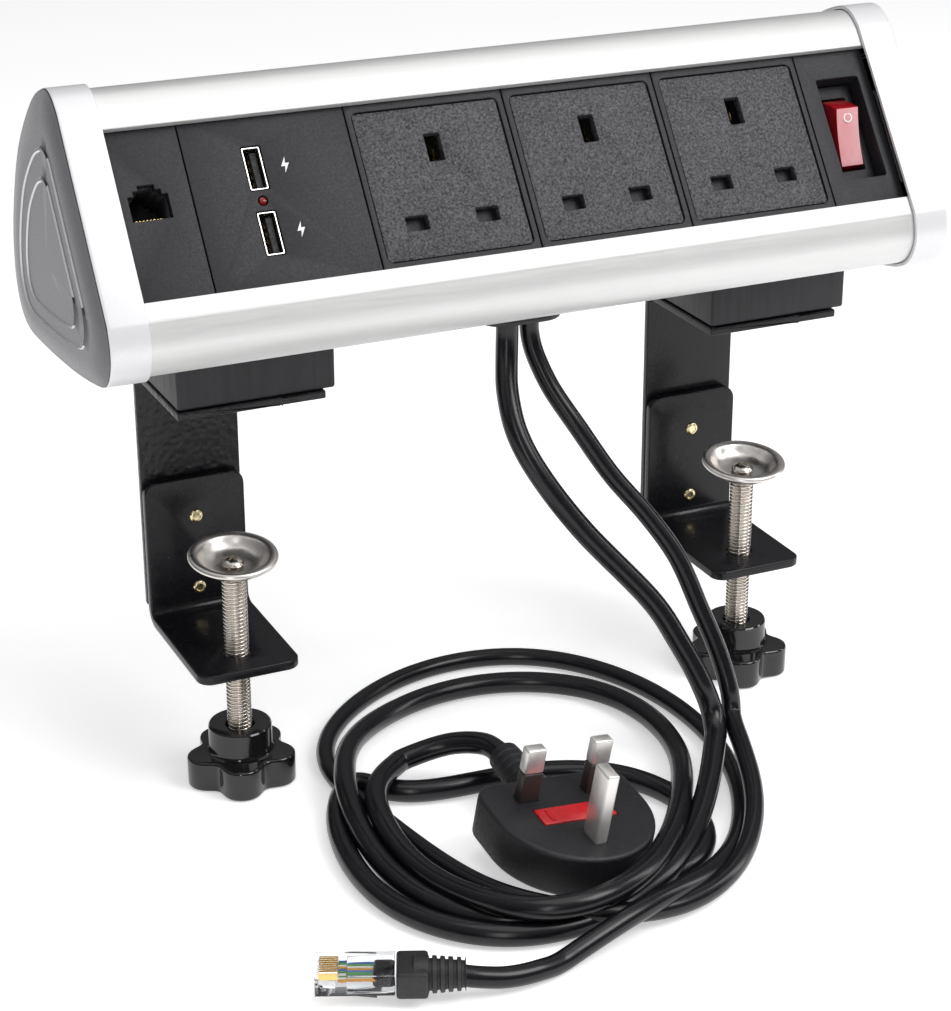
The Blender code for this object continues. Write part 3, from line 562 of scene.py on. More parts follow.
MAINS_D = 7.0
NETWORK_D = 6.0
GAP = 0.3
MAINS_ROUTE = [(0.0, 12.0, OUTLET_Z - GAP), (0.0, 12.0, 135), (-1.0, 10.2, 127.5),
               (-2.8, 5.6, 118.5), (-2.8, -1.5, 107.5), (2.0, -8.5, 95), (13.0, -16.0, 78),
               (31.0, -26.5, 56), (38.5, -32.5, 42), (43.5, -37.5, 30), (46.0, -42.5, 17.5)]
NETWORK_ROUTE = [(8.5, 14.0, OUTLET_Z - GAP), (8.5, 14.0, 135), (9.3, 12.2, 128), (12.6, 7.2, 117.5),
                 (18.5, 0.5, 106), (27.0, -6.5, 91), (36.5, -13.0, 78), (44.0, -19.5, 65),
                 (48.5, -26.5, 50), (52.5, -32.5, 36), (54.0, -38.0, 24), (53.0, -42.0, 17.0)]
MAINS_TAIL = [(-21.4, -29.2, 15.6), (-24.0, -21.5, 15.6), (-31.0, -14.5, 13.8), (-40.5, -11.3, 11.2),
              (-50.0, -11.5, 9.2), (-57.5, -14.5, 8.0)]
NETWORK_TAIL = [(-73.6, -121.6, 5.9), (-64.0, -123.6, 4.2), (-53.0, -123.2, 3.4), (-42.0, -120.2, 3.2)]
COIL_CENTRE = (-12.0, -30.0)
COIL_OUTER = (68.4, 90.0)
COIL_POWER = 2.5
COIL_TURN = math.radians(-11.0)
COIL_STEP = math.radians(-30)
# the smaller turns that pass behind the plug
INNER_CENTRE = (-23.0, -61.0)
INNER_OUTER = (47.0, 39.0)
PLUG_MIDDLE = (-18.7, -75.0)
PLUG_HALF = (29.0, 25.5)
PLUG_TOP_Z = 22.0
SETTLE_STEPS = 220
SETTLE_SPACING = 4.0
SETTLE_EASE = 16
SETTLE_POLISH = 30
PUSH_EASE = 8


def turns(start, rows, centre=COIL_CENTRE, outer=COIL_OUTER, lean=COIL_TURN):
    """Points of a coil at even steps from a start angle; each row is (share of the oval, height)."""
    points = []
    for i, (share, height) in enumerate(rows):
        angle = math.radians(start) + i * COIL_STEP
        c, s = math.cos(angle), math.sin(angle)
        reach = share * (abs(c) ** COIL_POWER + abs(s) ** COIL_POWER) ** (-1 / COIL_POWER)
        x, y = outer[0] * c * reach, outer[1] * s * reach
        points.append((centre[0] + x * math.cos(lean) - y * math.sin(lean),
                       centre[1] + x * math.sin(lean) + y * math.cos(lean), height))
    return points


def mains_coil():
    first = turns(-20, [(0.79, 9), (0.76, 4), (0.84, 4), (0.92, 4), (0.93, 4), (0.88, 4), (0.80, 5)])
    bridge = [(-58.0, -20.0, 6.0)]
    small = turns(100, [(1.02, 5), (1.0, 4), (1.0, 4), (1.0, 4), (1.02, 4), (1.04, 5), (1.02, 8)],
                  INNER_CENTRE, INNER_OUTER, 0.0)
    wide = turns(-110, [(0.91, 13), (0.88, 14), (0.88, 14), (0.79, 12), (0.70, 8), (0.74, 4), (0.76, 4),
                        (0.79, 4), (0.77, 6), (0.70, 12), (0.73, 15), (0.90, 16), (0.99, 17),
                        (0.84, 15), (0.80, 14)])
    return first + bridge + small + wide


def network_coil():
    return turns(-22, [(0.92, 11), (0.84, 10), (0.88, 13), (0.85, 12), (0.66, 9), (0.69, 10), (0.88, 6),
                       (0.88, 3.2), (0.97, 3.2), (0.99, 3.2), (0.94, 4), (0.95, 10), (0.87, 14),
                       (0.82, 14), (0.93, 10)])


def resampled(points, spacing):
    """The curve through the points, cut to even steps."""
    path = smooth_path(points, 24)
    even, left = [path[0]], spacing
    for a, b in zip(path, path[1:]):
        step = (b - a).length
        while step >= left:
            a = a + (b - a) * (left / step)
            even.append(a)
            step = (b - a).length
            left = spacing
        left -= step
    even[-1] = path[-1]
    return even


def settle(paths, radii, held):
    """Lets the turns sink until they rest on the floor and on each other. held gives how many points stay
    fixed at each end of a cord."""
    xyz = np.array([tuple(p) for path in paths for p in path])
    radius = np.concatenate([np.full(len(path), r) for path, r in zip(paths, radii)])
    cord = np.concatenate([np.full(len(path), i) for i, path in enumerate(paths)])
    index = np.concatenate([np.arange(len(path)) for path in paths])
    free = np.concatenate([(np.arange(len(p)) >= a) & (np.arange(len(p)) < len(p) - b)
                           for p, (a, b) in zip(paths, held)])
    start = xyz.copy()
    ends = np.concatenate([np.minimum(np.arange(len(p)) - a, len(p) - b - 1 - np.arange(len(p)))
                           for p, (a, b) in zip(paths, held)])
    sink = np.clip(ends / SETTLE_EASE, 0, 1) ** 2 * free
    start[:, 2] += (radius - start[:, 2]) * sink
    ease = (np.clip(ends / PUSH_EASE, 0, 1) * free)[:, None]
    reach = radius[:, None] + radius[None, :]
    apart = (cord[:, None] != cord[None, :]) | (abs(index[:, None] - index[None, :]) > 8)
    inner = free & np.roll(free, 1) & np.roll(free, -1)
    for step in range(SETTLE_STEPS):
        shift = xyz - start
        for _ in range(4):
            mean = (np.roll(shift, 1, 0) + np.roll(shift, -1, 0)) / 2
            shift[inner] += (mean[inner] - shift[inner]) * 0.5
        xyz = start + shift
        if step < SETTLE_STEPS * 0.85:
            xyz[:, 2] -= 0.22 * sink
        gap = xyz[:, None, :] - xyz[None, :, :]
        distance = np.sqrt((gap ** 2).sum(2)) + 1e-6
        overlap = np.where(apart, np.clip(reach - distance, 0, None), 0)
        push = (gap / distance[:, :, None] * overlap[:, :, None]).sum(1) * 0.22
        xyz += push * ease
        local = (xyz[:, :2] - PLUG_MIDDLE) / PLUG_HALF
        depth = np.sqrt((local ** 2).sum(1)) + 1e-6
        near = free & (depth < 1) & (xyz[:, 2] < PLUG_TOP_Z)
        xyz[near, :2] += (local[near] / depth[near, None] * (1 - depth[near, None])) * PLUG_HALF * 0.5
        xyz[free, 2] = np.maximum(xyz[free, 2], radius[free])
    for _ in range(SETTLE_POLISH):
        mean = (np.roll(xyz, 1, 0) + np.roll(xyz, -1, 0)) / 2
        xyz[inner] += (mean[inner] - xyz[inner]) * 0.5
        xyz[free, 2] = np.maximum(xyz[free, 2], radius[free])
    settled, first = [], 0
    for path in paths:
        settled.append([Vector(p) for p in xyz[first:first + len(path)]])
        first += len(path)
    return settled


def make_cord(name, points, diameter, nodes):
    path = [UNIT @ (p * MM) for p in smooth_path(points, 3)]
    curve = bpy.data.curves.new(name, "CURVE")
    curve.dimensions = "3D"
    curve.bevel_depth = diameter / 2 * MM
    curve.bevel_resolution = 6
    curve.use_fill_caps = True
    spline = curve.splines.new("POLY")
    spline.points.add(len(path) - 1)
    for point, place in zip(spline.points, path):
        point.co = (*place, 1)
    spline.use_smooth = True
    curve.materials.append(MATS["sheath"])
    obj = bpy.data.objects.new(name, curve)
    bpy.context.scene.collection.objects.link(obj)
    attach(obj, nodes)


def make_cords(mains_pieces, network_pieces):
    plug_end = (-21.2, -32.5, 15.4)
    boot_end = (-77.5, -119.9, 6.6)
    mains = resampled(MAINS_ROUTE + mains_coil() + MAINS_TAIL[::-1] + [plug_end], SETTLE_SPACING)
    network = resampled(NETWORK_ROUTE + network_coil() + NETWORK_TAIL[::-1] + [boot_end], SETTLE_SPACING)
    held = [(38, 9), (39, 8)]
    mains, network = settle([mains, network], [MAINS_D / 2, NETWORK_D / 2], held)
    make_cord("mains_cord", mains, MAINS_D, ["mains_cord_drop", "mains_cord_tail", "cord_coil"])
    make_cord("network_cord", network, NETWORK_D, ["network_cord_drop", "network_cord_tail"])


# ---------------------------------------------------------------- body and end caps

def body_outline(inset, per_span=12):
    """Outline of the body as (v, n) points, from the flat's upper end round the back."""
    path = smooth_path([(FRONT_N, FRONT_FLAT)] + SIDE_POINTS + [(FRONT_N, -FRONT_FLAT)], per_span,
                       (FRONT_N, FRONT_FLAT - 8), (FRONT_N, 8 - FRONT_FLAT))
    count = len(path)
    points = []
    for i, p in enumerate(path):
        along = (path[min(i + 1, count - 1)] - path[max(i - 1, 0)]).normalized()
        inward = Vector((-1, 0)) if i in (0, count - 1) else Vector((-along.y, along.x))
        q = p + inward * inset
        points.append((q.y, q.x))
    return points


def make_extrusion():
    outer = body_outline(BODY_INSET)
    inner = body_outline(BODY_INSET + BODY_WALL)
    lip_out = FRONT_N - BODY_INSET
    lip_in = lip_out - BODY_WALL
    edge = 0.35
    loop = [(SLOT_HALF, lip_out - edge), (SLOT_HALF + edge * 0.3, lip_out - edge * 0.3),
            (SLOT_HALF + edge, lip_out)]
    loop += outer
    loop += [(-SLOT_HALF - edge, lip_out), (-SLOT_HALF - edge * 0.3, lip_out - edge * 0.3),
             (-SLOT_HALF, lip_out - edge), (-SLOT_HALF, lip_in)]
    loop += inner[::-1] + [(SLOT_HALF, lip_in)]
    mesh = moved(prism_mesh([loop], -BODY_END_X, BODY_END_X), FACE @ SIDE)
    hole = prism_mesh([rectangle(24.0, 13.0, (4.2, 13.0), 6.4)], OUTLET_Z - 5, OUTLET_Z + 15)
    mesh = cut(mesh, moved(hole, UNIT))
    piece("extrusion", mesh, Matrix.Identity(4), "silver", "extrusion_body", smooth=30)


def make_end_cap(name, side):
    """Rim over the body's end, a tight edge, and a crowned end face with two raised rounded triangles."""
    middle = (2.0, -38.0)

    def ring(x, inset, shrink=1.0):
        return [(side * x, middle[0] + (v - middle[0]) * shrink, middle[1] + (n - middle[1]) * shrink)
                for v, n in body_outline(inset, 8)]

    edge_x, edge = CAP_END_X - 2.3, 0.7
    rings = [ring(CAP_RIM_X, 1.0), ring(CAP_RIM_X, 0.25), ring(CAP_RIM_X + 0.15, 0.0),
             ring(edge_x - 0.6, 0.0)]
    for i in range(1, 6):
        a = math.pi / 2 * i / 5
        rings.append(ring(edge_x + edge * math.sin(a) * 0.8, edge * (1 - math.cos(a))))
    for i in range(1, 8):
        t = i / 7
        rings.append(ring(edge_x + 0.56 + 1.3 * math.sin(t * math.pi / 2), edge, 1 - 0.24 * t))
    ridge = 0.43
    shares = (0.67, 0.50)
    level = CAP_END_X - 0.44
    for share in shares:
        for offset, height in ((0.016, 0.0), (0.006, ridge), (-0.006, ridge), (-0.016, 0.0)):
            rings.append(ring(level + height, 0.0, share + offset))
    rings.append(ring(level, 0.0, 0.04))
    shell = loft_mesh(rings, cap_low=False)
    lining = loft_mesh([ring(CAP_RIM_X, 1.0), ring(CAP_END_X - 3.2, 1.2)], False, False)
    cap = piece(name, joined(shell, lining), FACE, "cap", smooth=40)
    # painted shade: the end faces take the dark copy of the silver plastic, standing in for the shade that
    # falls on them
    cap.data.materials.append(MATS["cap painted shade"])
    for face in cap.data.polygons:
        if abs(face.normal.x) > 0.75 and abs(face.center.x) > (edge_x - 1) * MM:
            face.material_index = 1


# ---------------------------------------------------------------- modules

def framed(name, x, width, holes, collar=None):
    """A module's front plate, with a collar behind its opening given as (outer, inner, back)."""
    plate = prism_mesh([rectangle(width, MODULE_HEIGHT)] + holes, PLATE_BACK, 0, PLATE_EDGE, 2)
    if collar:
        outer, inner, back = collar
        plate = joined(plate, prism_mesh([outer, inner], back, -0.6))
    piece(name, plate, FACE @ at(x, 0, 0), "module", smooth=20)


def make_data_module():
    jack_v = 3.4
    width, height = 14.2, 16.4
    half, low, high, step, step_top, notch, notch_top = 5.75, -1.2, 6.0, 4.0, 7.5, 2.4, 9.0
    mouth = [(-half, low), (half, low), (half, high), (step, high), (step, step_top), (notch, step_top),
             (notch, notch_top), (-notch, notch_top), (-notch, step_top), (-step, step_top), (-step, high),
             (-half, high)]
    collar = rectangle(width + 4, height + 4, (0, jack_v))
    inside = rectangle(width + 0.6, height + 0.6, (0, jack_v))
    framed("data_module_frame", DATA_X, NARROW_MODULE, [mouth], (collar, inside, -9))
    front = prism_mesh([rectangle(width, height, (0, jack_v)), mouth], -15.0, -2.5)
    back = box_mesh((width, height, 12.0), (0, jack_v, -21.0))
    piece("data_jack_body", joined(front, back), FACE @ at(DATA_X, 0, 0), "module", smooth=None)
    dress("data_jack_contacts", "gold")


def make_usb_module():
    port_x = -5.1
    ports = {"upper": 10.1, "lower": -9.4}
    holes = [rectangle(6.0, 13.4, (port_x, v), 0.6) for v in ports.values()]
    holes.append(ellipse(1.5, 1.5, (port_x, 0.3), 24))
    framed("usb_module_frame", USB_X, WIDE_MODULE, holes)
    for key, v in ports.items():
        loops = [rectangle(5.4, 12.8, (port_x, v), 0.5), rectangle(4.5, 11.9, (port_x, v), 0.3)]
        piece("usb_shell_" + key, prism_mesh(loops, -14.0, -0.3, 0.1, 1), FACE @ at(USB_X, 0, 0),
              "steel", smooth=20)
        fingers = [box_mesh((0.2, 1.1, 6.5), (port_x - 0.1, v + (i - 1.5) * 2.3, -7.5)) for i in range(4)]
        piece("usb_contacts_" + key, joined(*fingers), FACE @ at(USB_X, 0, 0), "gold", body="strip",
              slot="contact_gold")
    dress("usb_tongue_block", "dark", 0.2, 1)
    dress("usb_power_board", "board", 0.2, 1)
    lens = lathe_mesh([(0, 0.25), (0.6, 0.2), (1.0, 0.0), (1.2, -0.4), (1.2, -6.0), (0, -6.0)], 24)
    piece("usb_led_lens", lens, FACE @ at(USB_X + port_x, 0.3, 0), "lamp")
    bolt = [(0.3, 2.4), (-1.3, -0.4), (-0.1, -0.4), (-0.5, -2.4), (1.2, 0.5), (0.0, 0.5)]
    for key, v in ports.items():
        mark = prism_mesh([bolt], 0.0, 0.03)
        piece("charge_mark_" + key, mark, FACE @ at(USB_X + port_x + 9.0, v, 0), "white", body="strip",
              slot="module_black", smooth=None)


def make_socket(index, x):
    aperture = rectangle(46.2, 46.2, (0, 0), 2.0)
    collar = rectangle(48.6, 48.6, (0, 0), 2.0)
    framed("socket_%d_frame" % index, x, WIDE_MODULE, [aperture], (collar, aperture, -18.0))
    half = PLUG_PITCH / 2
    loops = [rectangle(45.6, 45.6, (0, 0), 1.0), rectangle(4.9, 8.6, (0, EARTH_V), 0.4),
             rectangle(6.9, 4.5, (-half, LINE_V), 0.4), rectangle(6.9, 4.5, (half, LINE_V), 0.4)]
    insert = prism_mesh(loops, -3.4, -0.4, 0.28, 2)
    piece("socket_%d_insert" % index, insert, FACE @ at(x, 0, 0), "speckle", smooth=20)
    dress("socket_%d_shutter" % index, "module", 0.2, 1)


def make_switch():
    well = rectangle(15.2, 33.4, (0, 0), 0.8)
    outline = rectangle(NARROW_MODULE, MODULE_HEIGHT, (-0.9, 0))
    plate = prism_mesh([outline, well], PLATE_BACK, 0, PLATE_EDGE, 2)
    collar = prism_mesh([rectangle(18.2, 36.4, (0, 0), 1.2), well], -17, -0.6)
    place = FACE @ at(SWITCH_X, 0, 0)
    piece("switch_module_frame", joined(plate, collar), place, "module", smooth=20)
    bezel = prism_mesh([rectangle(14.5, 32.6), rectangle(9.4, 24.0, (0, 0), 0.5)], -18.5, -5.8, 0.35, 2)
    floor = box_mesh((14.5, 32.6, 5.5), (0, 0, -21.25))
    piece("switch_base", joined(bezel, floor), place, "module", smooth=20)

    end, rise, valley, skirt, skirt_n, foot, sole = 9.0, 6.6, 5.8, 11.6, -1.4, 8.0, -4.5
    profile = [(-foot, sole), (foot, sole), (skirt, skirt_n)]
    for i in range(13):
        t = 1 - 2 * i / 12
        profile.append((end * t, valley + (rise - valley) * t * t))
    profile.append((-skirt, skirt_n))
    body = rounded(prism_mesh([profile], -4.0, 4.0), 0.35, 3, 25)
    pivot = lathe_mesh([(0, 5.6), (1.2, 5.6), (1.2, -5.6), (0, -5.6)], 24)
    axis = cut(body, pivot, operation="UNION")
    turn = Matrix(((0, 0, 1, 0), (math.cos(ROCKER_REST), -math.sin(ROCKER_REST), 0, 0),
                   (math.sin(ROCKER_REST), math.cos(ROCKER_REST), 0, 0), (0, 0, 0, 1)))
    rocker_place = place @ at(0, 0, ROCKER_N) @ turn
    rocker = piece("switch_rocker", axis, rocker_place, "rocker", smooth=25)
    # painted highlight: the top faces take the pale copy of the red plastic, standing in for the reflected
    # softbox
    rocker.data.materials.append(MATS["rocker painted highlight"])
    outward = (rocker_place.to_3x3() @ Vector((0, 1, 0))).normalized()
    for face in rocker.data.polygons:
        if face.normal.dot(outward) > 0.9:
            face.material_index = 1
    ring = lathe_mesh([(1.5, 0.05), (1.1, 0.05), (1.1, -0.05), (1.5, -0.05)], 32, closed=True)
    lie = Matrix.Rotation(math.radians(-90), 4, "X")
    mark = rocker_place @ at(6.0, valley + (rise - valley) * 0.44 + 0.12, 0) @ lie
    piece("off_mark", ring, mark, "white", body="rocker", slot="rocker_red")


# ---------------------------------------------------------------- clamps

def underside(y):
    places = []
    for v, n in body_outline(BODY_INSET, 4):
        places.append((v * math.sin(FACE_TILT) - n * math.cos(FACE_TILT),
                       FACE_HEIGHT + v * math.cos(FACE_TILT) + n * math.sin(FACE_TILT)))
    low = sorted(p for p in places if p[1] < FACE_HEIGHT - 25)
    for (ya, za), (yb, zb) in zip(low, low[1:]):
        if ya <= y <= yb:
            return za + (zb - za) * (y - ya) / (yb - ya)
    return low[-1][1]


def bent_profile(corner, leg_up, leg_out, thick, inner_r, steps=10):
    y0, z0 = corner
    sign = 1 if leg_up > 0 else -1
    outer_r = inner_r + thick
    points = [(y0, z0 + leg_up)]
    for i in range(steps + 1):
        a = math.pi / 2 * i / steps
        points.append((y0 - outer_r + outer_r * math.cos(a), z0 + sign * (outer_r - outer_r * math.sin(a))))
    points += [(y0 - leg_out, z0), (y0 - leg_out, z0 + sign * thick)]
    for i in range(steps + 1):
        a = math.pi / 2 * (1 - i / steps)
        points.append((y0 - outer_r + inner_r * math.cos(a), z0 + sign * (outer_r - inner_r * math.sin(a))))
    points.append((y0 - thick, z0 + leg_up))
    return points


def across(level_index, level):
    def pick(edge):
        a, b = (v.co for v in edge.verts)
        delta = b - a
        at_level = all(abs(c[level_index] - level * MM) < 1e-5 for c in (a, b))
        return at_level and abs(delta[1 - level_index]) > 1e-4 and abs(delta.z) < 1e-5
    return pick


def make_spacer(side, x):
    left, right = x - STRAP_W / 2 + 0.3, x + BLOCK_RIGHT
    bottom = JAW_Z + UPPER_STEEL + GAP
    ys = [JAW_Y + 0.5 + (66.0 - JAW_Y - 0.5) * i / 8 for i in range(9)]
    top = [(y, underside(y) - GAP - 0.1) for y in ys]
    loop = [(ys[-1], bottom), (ys[-1], top[-1][1])] + top[::-1][1:] + [(ys[0], bottom)]
    mesh = rounded(prism_mesh([loop], left, right), 0.9, 3)
    piece("spacer_block_" + side, mesh, UNIT @ SIDE, "spacer", smooth=None)


def make_brackets(side, x):
    half = STRAP_W / 2
    upper_back = LOWER_FACE_Y + LOWER_STEEL + GAP + UPPER_STEEL
    upper = bent_profile((upper_back, JAW_Z + UPPER_STEEL), -(JAW_Z + UPPER_STEEL - 46.0),
                         upper_back - JAW_Y, UPPER_STEEL, 1.5)
    strap = prism_mesh([upper[::-1]], x - half, x + half)
    strap = moved(strap, SIDE)
    reach = upper_back - 5 - JAW_Y
    wing = box_mesh((FLANGE_RIGHT - half + 1, reach, UPPER_STEEL),
                    (x + (FLANGE_RIGHT + half - 1) / 2, JAW_Y + reach / 2, JAW_Z + UPPER_STEEL / 2))
    strap = cut(strap, wing, operation="UNION")
    lower_back = LOWER_FACE_Y + LOWER_STEEL
    low_z = LOWER_FLANGE_Z - LOWER_STEEL
    lower = bent_profile((lower_back, low_z), LOWER_TOP_Z - low_z, lower_back - LOWER_FRONT_Y,
                         LOWER_STEEL, 3.0)
    mesh = prism_mesh([lower], x - half, x + half)
    bm = bmesh.new()
    bm.from_mesh(mesh)
    picks = [across(0, LOWER_FRONT_Y), across(1, LOWER_TOP_Z)]
    edges = [e for e in bm.edges if any(pick(e) for pick in picks)]
    bmesh.ops.bevel(bm, geom=edges, offset=4.5 * MM, segments=10, profile=0.5, affect="EDGES")
    angle = moved(finish(bm), SIDE)
    bore = lathe_mesh([(0, 10), (SCREW_R + GAP, 10), (SCREW_R + GAP, -10), (0, -10)], 40)
    angle = cut(angle, moved(bore, at(x, SCREW_Y, LOWER_FLANGE_Z)))
    across_y = Matrix.Rotation(math.radians(-90), 4, "X")
    piece("upper_bracket_" + side, rounded(strap, 0.45, 3), UNIT,
          "wrinkle" if side == "left" else "satin", smooth=None)
    piece("lower_bracket_" + side, rounded(angle, 0.5, 3, 40), UNIT, "satin", smooth=None)
    rear = upper_back - LOWER_FACE_Y + GAP
    for key, z in RIVET_ZS.items():
        profile = [(0, rear + 1.8), (1.4, rear + 1.75), (2.6, rear + 1.5), (3.5, rear + 0.9),
                   (3.8, rear + 0.3), (3.8, rear), (2.2, rear), (2.2, -0.15), (2.0, -0.5), (1.7, -0.75),
                   (1.3, -0.8), (1.15, -0.55), (0.6, -0.5), (0, -0.5)]
        piece("bracket_rivet_%s_%s" % (side, key), lathe_mesh(profile, 32),
              UNIT @ at(x, LOWER_FACE_Y, z) @ across_y, "rivet")


def star_outline(count=180):
    points = []
    for i in range(count):
        a = 2 * math.pi * i / count
        r = 15.5 + 2.1 * math.cos(5 * a) - 0.3 * math.cos(10 * a)
        points.append((r * math.sin(a + STAR_PHASE), r * math.cos(a + STAR_PHASE)))
    return points[::-1]


def thread_mesh(low, high, pitch=1.25, rows_per_turn=10, steps=32):
    """A plain bar with a right-hand thread."""
    def radius(r, z, angle):
        ease = min(1.0, (z - low) / 1.0, (high - z) / 1.0)
        phase = ((z / pitch) - angle / (2 * math.pi)) % 1.0
        ridge = 1 - abs(2 * phase - 1)
        return r - 0.72 * (1 - min(1.0, ridge * 1.5)) * max(0.0, ease) - 0.5 * (1 - max(0.0, ease))
    rows = int((high - low) / pitch * rows_per_turn)
    profile = [(0, low)] + [(SCREW_R, low + (high - low) * i / rows) for i in range(rows + 1)] + [(0, high)]
    return lathe_mesh(profile, steps, radius_of=radius)


def make_clamp_screw(side, x):
    base = 5.5
    top = PIVOT_Z - 2.6
    place = UNIT @ at(x, SCREW_Y, 0)
    piece("clamp_screw_" + side, thread_mesh(base, top), place, "nickel", smooth=60)
    dress("pad_washer_" + side, "nickel")
    dish = [(2.8, 0.6), (4.4, 0.62), (6.0, 0.8), (7.4, 1.25), (8.6, 1.95), (9.6, 2.95), (10.4, 4.0),
            (11.1, 4.8), (12.0, 5.15), (12.8, 5.25), (13.4, 5.0), (13.8, 4.4), (13.75, 3.9),
            (13.4, 3.6), (12.9, 3.75),
            (12.3, 3.95), (11.6, 3.6), (10.7, 2.5), (9.6, 0.9), (8.2, 0.0), (6.4, -0.5), (2.8, -0.6)]
    fine = smooth_path([(r, z, 0) for r, z in dish], 3)
    cup = lathe_mesh([(p.x, p.y) for p in fine], 96, closed=True)
    lean = Matrix.Rotation(PAD_REST, 4, "X")
    piece("pad_cup_" + side, cup, UNIT @ at(x, SCREW_Y, PIVOT_Z) @ lean, "cup", smooth=50)
    head = 1.4
    fixing = [(0, head + 2.0), (1.4, head + 1.95), (2.4, head + 1.6), (3.2, head + 1.0), (3.55, head + 0.4),
              (3.5, head), (1.7, head), (1.7, -9.5), (1.4, -10.4), (0, -10.4)]
    screw = lathe_mesh(fixing, 40)
    slots = [box_mesh((3.4, 0.75, 1.6), (0, 0, head + 2.0)), box_mesh((0.75, 3.4, 1.6), (0, 0, head + 2.0))]
    screw = cut(screw, *slots)
    piece("pad_screw_" + side, screw, UNIT @ at(x, SCREW_Y, PIVOT_Z) @ Matrix.Rotation(0.5, 4, "Z"),
          "nickel")
    star = prism_mesh([star_outline()], 0, STAR_TOP, 1.0, 4)
    hub = [(4.3, HUB_TOP - 1.0), (4.7, HUB_TOP - 0.5), (9.0, HUB_TOP), (9.5, HUB_TOP - 0.15),
           (9.85, HUB_TOP - 0.6), (9.9, HUB_TOP - 1.1), (9.9, STAR_TOP + 1.2), (10.3, STAR_TOP + 0.35),
           (11.0, STAR_TOP), (11.0, STAR_TOP - 1.5), (4.3, STAR_TOP - 1.5)]
    piece("clamp_knob_" + side, joined(star, lathe_mesh(hub, 72, closed=True)), place, "knob", smooth=32)


# ---------------------------------------------------------------- grommet, plug and network plug

def make_grommet():
    mesh = prism_mesh([rectangle(27.0, 15.4, (4.2, 13.0), 7.6)], OUTLET_Z, OUTLET_Z + 1.6, 0.5)
    mesh = cut(mesh, prism_mesh([rectangle(23.4, 12.4, (4.2, 13.0), 6.1)], OUTLET_Z + 0.8, OUTLET_Z + 9.5),
               operation="UNION")
    for (x, y, _), diameter in ((MAINS_ROUTE[0], MAINS_D), (NETWORK_ROUTE[0], NETWORK_D)):
        r = diameter / 2 + 0.2
        bore = lathe_mesh([(0, 15), (r, 15), (r, -5), (0, -5)], 32)
        mesh = cut(mesh, moved(bore, at(x, y, OUTLET_Z)))
    piece("cord_grommet", mesh, UNIT, "rubber")


def plug_outline():
    points = []
    for i in range(49):
        a = math.radians(180 + 180 * i / 48)
        points.append((24.8 * math.cos(a), -8.0 + 25.5 * math.sin(a)))
    for sx, start in ((1, 0), (-1, 90)):
        for i in range(10):
            a = math.radians(start + 10 * i)
            points.append((sx * 17.8 + 7.0 * math.cos(a), 2.5 + 7.0 * math.sin(a)))
    return points


def make_plug():
    thick = 14.0
    made = []
    body = prism_mesh([plug_outline()], -thick, 0, 1.5, 5)
    along_y = Matrix.Rotation(math.radians(-90), 4, "X")
    boot = []
    for i in range(61):
        y = 25.0 * i / 60
        groove = 0.55 if 7.0 < y < 23.5 and (y - 7.0) % 3.4 < 1.3 else 0.0
        boot.append((6.2 - 1.2 * y / 25.0 - groove, y))
    boot = [(0, -2.0), (6.2, -2.0)] + boot + [(3.6, 25.0), (3.6, 23.0), (0, 23.0)]
    sleeve = moved(lathe_mesh(boot[::-1], 40), at(-1.0, 7.0, -7.6) @ along_y)
    pins = {"plug_pin_neutral": (-PLUG_PITCH / 2, 0, 6.35, 4.0, 17.7),
            "plug_pin_live": (PLUG_PITCH / 2, 0, 6.35, 4.0, 17.7),
            "plug_pin_earth": (0, -PLUG_PITCH, 4.0, 7.95, 22.7)}
    root = -6.0
    for name, (x, y, w, h, length) in pins.items():
        body = cut(body, box_mesh((w + 0.3, h + 0.3, 20), (x, y, root + 9.7)))
        sleeved = 9.5 if name != "plug_pin_earth" else 0.0
        if sleeved:
            low = rounded(box_mesh((w, h, sleeved - root), (0, 0, (sleeved + root) / 2)), 0.5, 3)
            made.append(piece(name + "_sleeve", low, PLUG @ at(x, y, 0), "sleeve", body="strip",
                              slot="plug_black", smooth=None))
            root_top = sleeved + 0.02
        else:
            root_top = root
        tip = rounded(box_mesh((w, h, length - root_top), (0, 0, (length + root_top) / 2)), 0.75, 3)
        made.append(piece(name, tip, PLUG @ at(x, y, 0), "pin", smooth=None))
    carrier = (24.0, 7.6, 10.4)
    spot = (0, -10.2, -4.8)
    body = cut(body, box_mesh((carrier[0] + 0.5, carrier[1] + 0.5, 20), (0, spot[1], spot[2] + 4.6)))
    made.append(piece("plug_body", joined(body, sleeve), PLUG, "plug", smooth=40))
    fuse = rounded(box_mesh(carrier), 0.4, 3)
    rib = [box_mesh((1.2, 5.2, 0.35), (sx * 8.5, 0, carrier[2] / 2 + 0.1)) for sx in (-1, 1)]
    made.append(piece("plug_fuse_carrier", joined(fuse, *rib), PLUG @ at(*spot), "fuse", smooth=None))
    return made


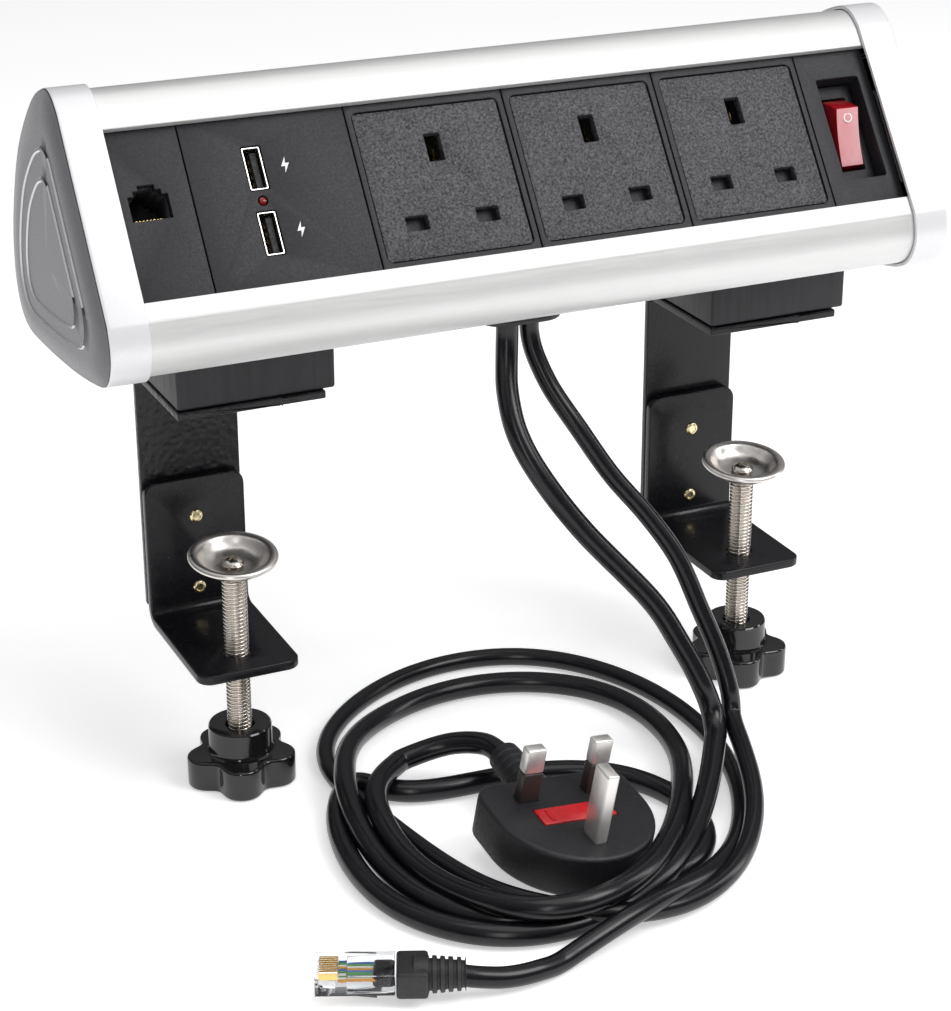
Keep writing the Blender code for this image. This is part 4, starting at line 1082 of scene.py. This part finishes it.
def make_network_plug():
    body = box_mesh((21.4, 11.7, 6.6), (10.7, 0, 0.6))
    body = cut(body, box_mesh((13.5, 9.6, 4.6), (15.2, 0, 0.4)))
    lanes = [box_mesh((5.4, 0.5, 1.6), (3.6, (i - 3.5) * 1.02, 3.5)) for i in range(8)]
    body = cut(body, *lanes)
    latch = [(1.0, -2.4), (1.0, -3.4), (16.5, -5.2), (16.5, -4.2), (3.2, -2.4)]
    arm = moved(prism_mesh([latch], -3.0, 3.0), Matrix.Rotation(math.radians(90), 4, "X"))
    made = [piece("network_plug_body", joined(rounded(body, 0.25, 2), arm), JACK_PLUG, "clear",
                  smooth=None)]
    blades = [box_mesh((5.0, 0.34, 2.4), (3.6, (i - 3.5) * 1.02, 2.55)) for i in range(8)]
    made.append(piece("network_plug_contacts", joined(*blades), JACK_PLUG, "gold", body="strip",
                      slot="contact_gold", smooth=None))
    colours = ((0.75, 0.35, 0.05), (0.8, 0.78, 0.7), (0.1, 0.35, 0.1), (0.1, 0.2, 0.55))
    for index, colour in enumerate(colours):
        mat_name = "wire_%d" % index
        MATS[mat_name] = surface("wire %d" % index, colour, (0.3, 0.4))
        strands = [moved(lathe_mesh([(0, 12.0), (0.42, 12.0), (0.42, 0), (0, 0)], 10),
                         at(6.2, (i - 3.5) * 1.02, 1.0) @ Matrix.Rotation(math.pi / 2, 4, "Y"))
                   for i in (index, index + 4)]
        made.append(piece("network_plug_wires_%d" % index, joined(*strands), JACK_PLUG, mat_name,
                          body="strip", slot="plug_clear"))
    jacket = rounded(box_mesh((6.0, 8.0, 4.0), (18.2, 0, 0.4)), 1.2, 4)
    made.append(piece("network_plug_jacket", jacket, JACK_PLUG, "sheath", body="strip", slot="cord_sheath",
                      smooth=None))
    sleeve = rounded(box_mesh((8.6, 12.4, 8.0), (26.0, 0, 0)), 1.0, 4)
    ribs = []
    for i in range(79):
        x = 13.0 * i / 78
        groove = 0.8 if x > 3.0 and (x - 3.0) % 2.2 < 0.9 else 0.0
        ribs.append((5.4 - 1.0 * x / 13.0 - groove, x))
    taper = lathe_mesh(([(0, -1.0), (5.4, -1.0)] + ribs + [(3.1, 13.0), (3.1, 12.0), (0, 12.0)])[::-1], 40)
    taper = moved(taper, at(27.4, 0, 0) @ Matrix.Rotation(math.pi / 2, 4, "Y"))
    made.append(piece("network_plug_boot", joined(sleeve, taper), JACK_PLUG, "rubber", smooth=40))
    return made


# ---------------------------------------------------------------- everything

bpy.context.scene.view_settings.view_transform = "Standard"
make_camera()
make_stage()
make_light()
make_cords(make_plug(), make_network_plug())
make_extrusion()
make_end_cap("end_cap_left", -1)
make_end_cap("end_cap_right", 1)
make_data_module()
make_usb_module()
for number, socket_x in enumerate(SOCKET_XS, 1):
    make_socket(number, socket_x)
make_switch()
for bar in ("earth_bus_bar", "live_bus_bar", "neutral_bus_bar"):
    dress(bar, "brass", 0.15, 1)
for side_name, clamp_x in CLAMP_XS.items():
    make_spacer(side_name, clamp_x)
    make_brackets(side_name, clamp_x)
    make_clamp_screw(side_name, clamp_x)
make_grommet()
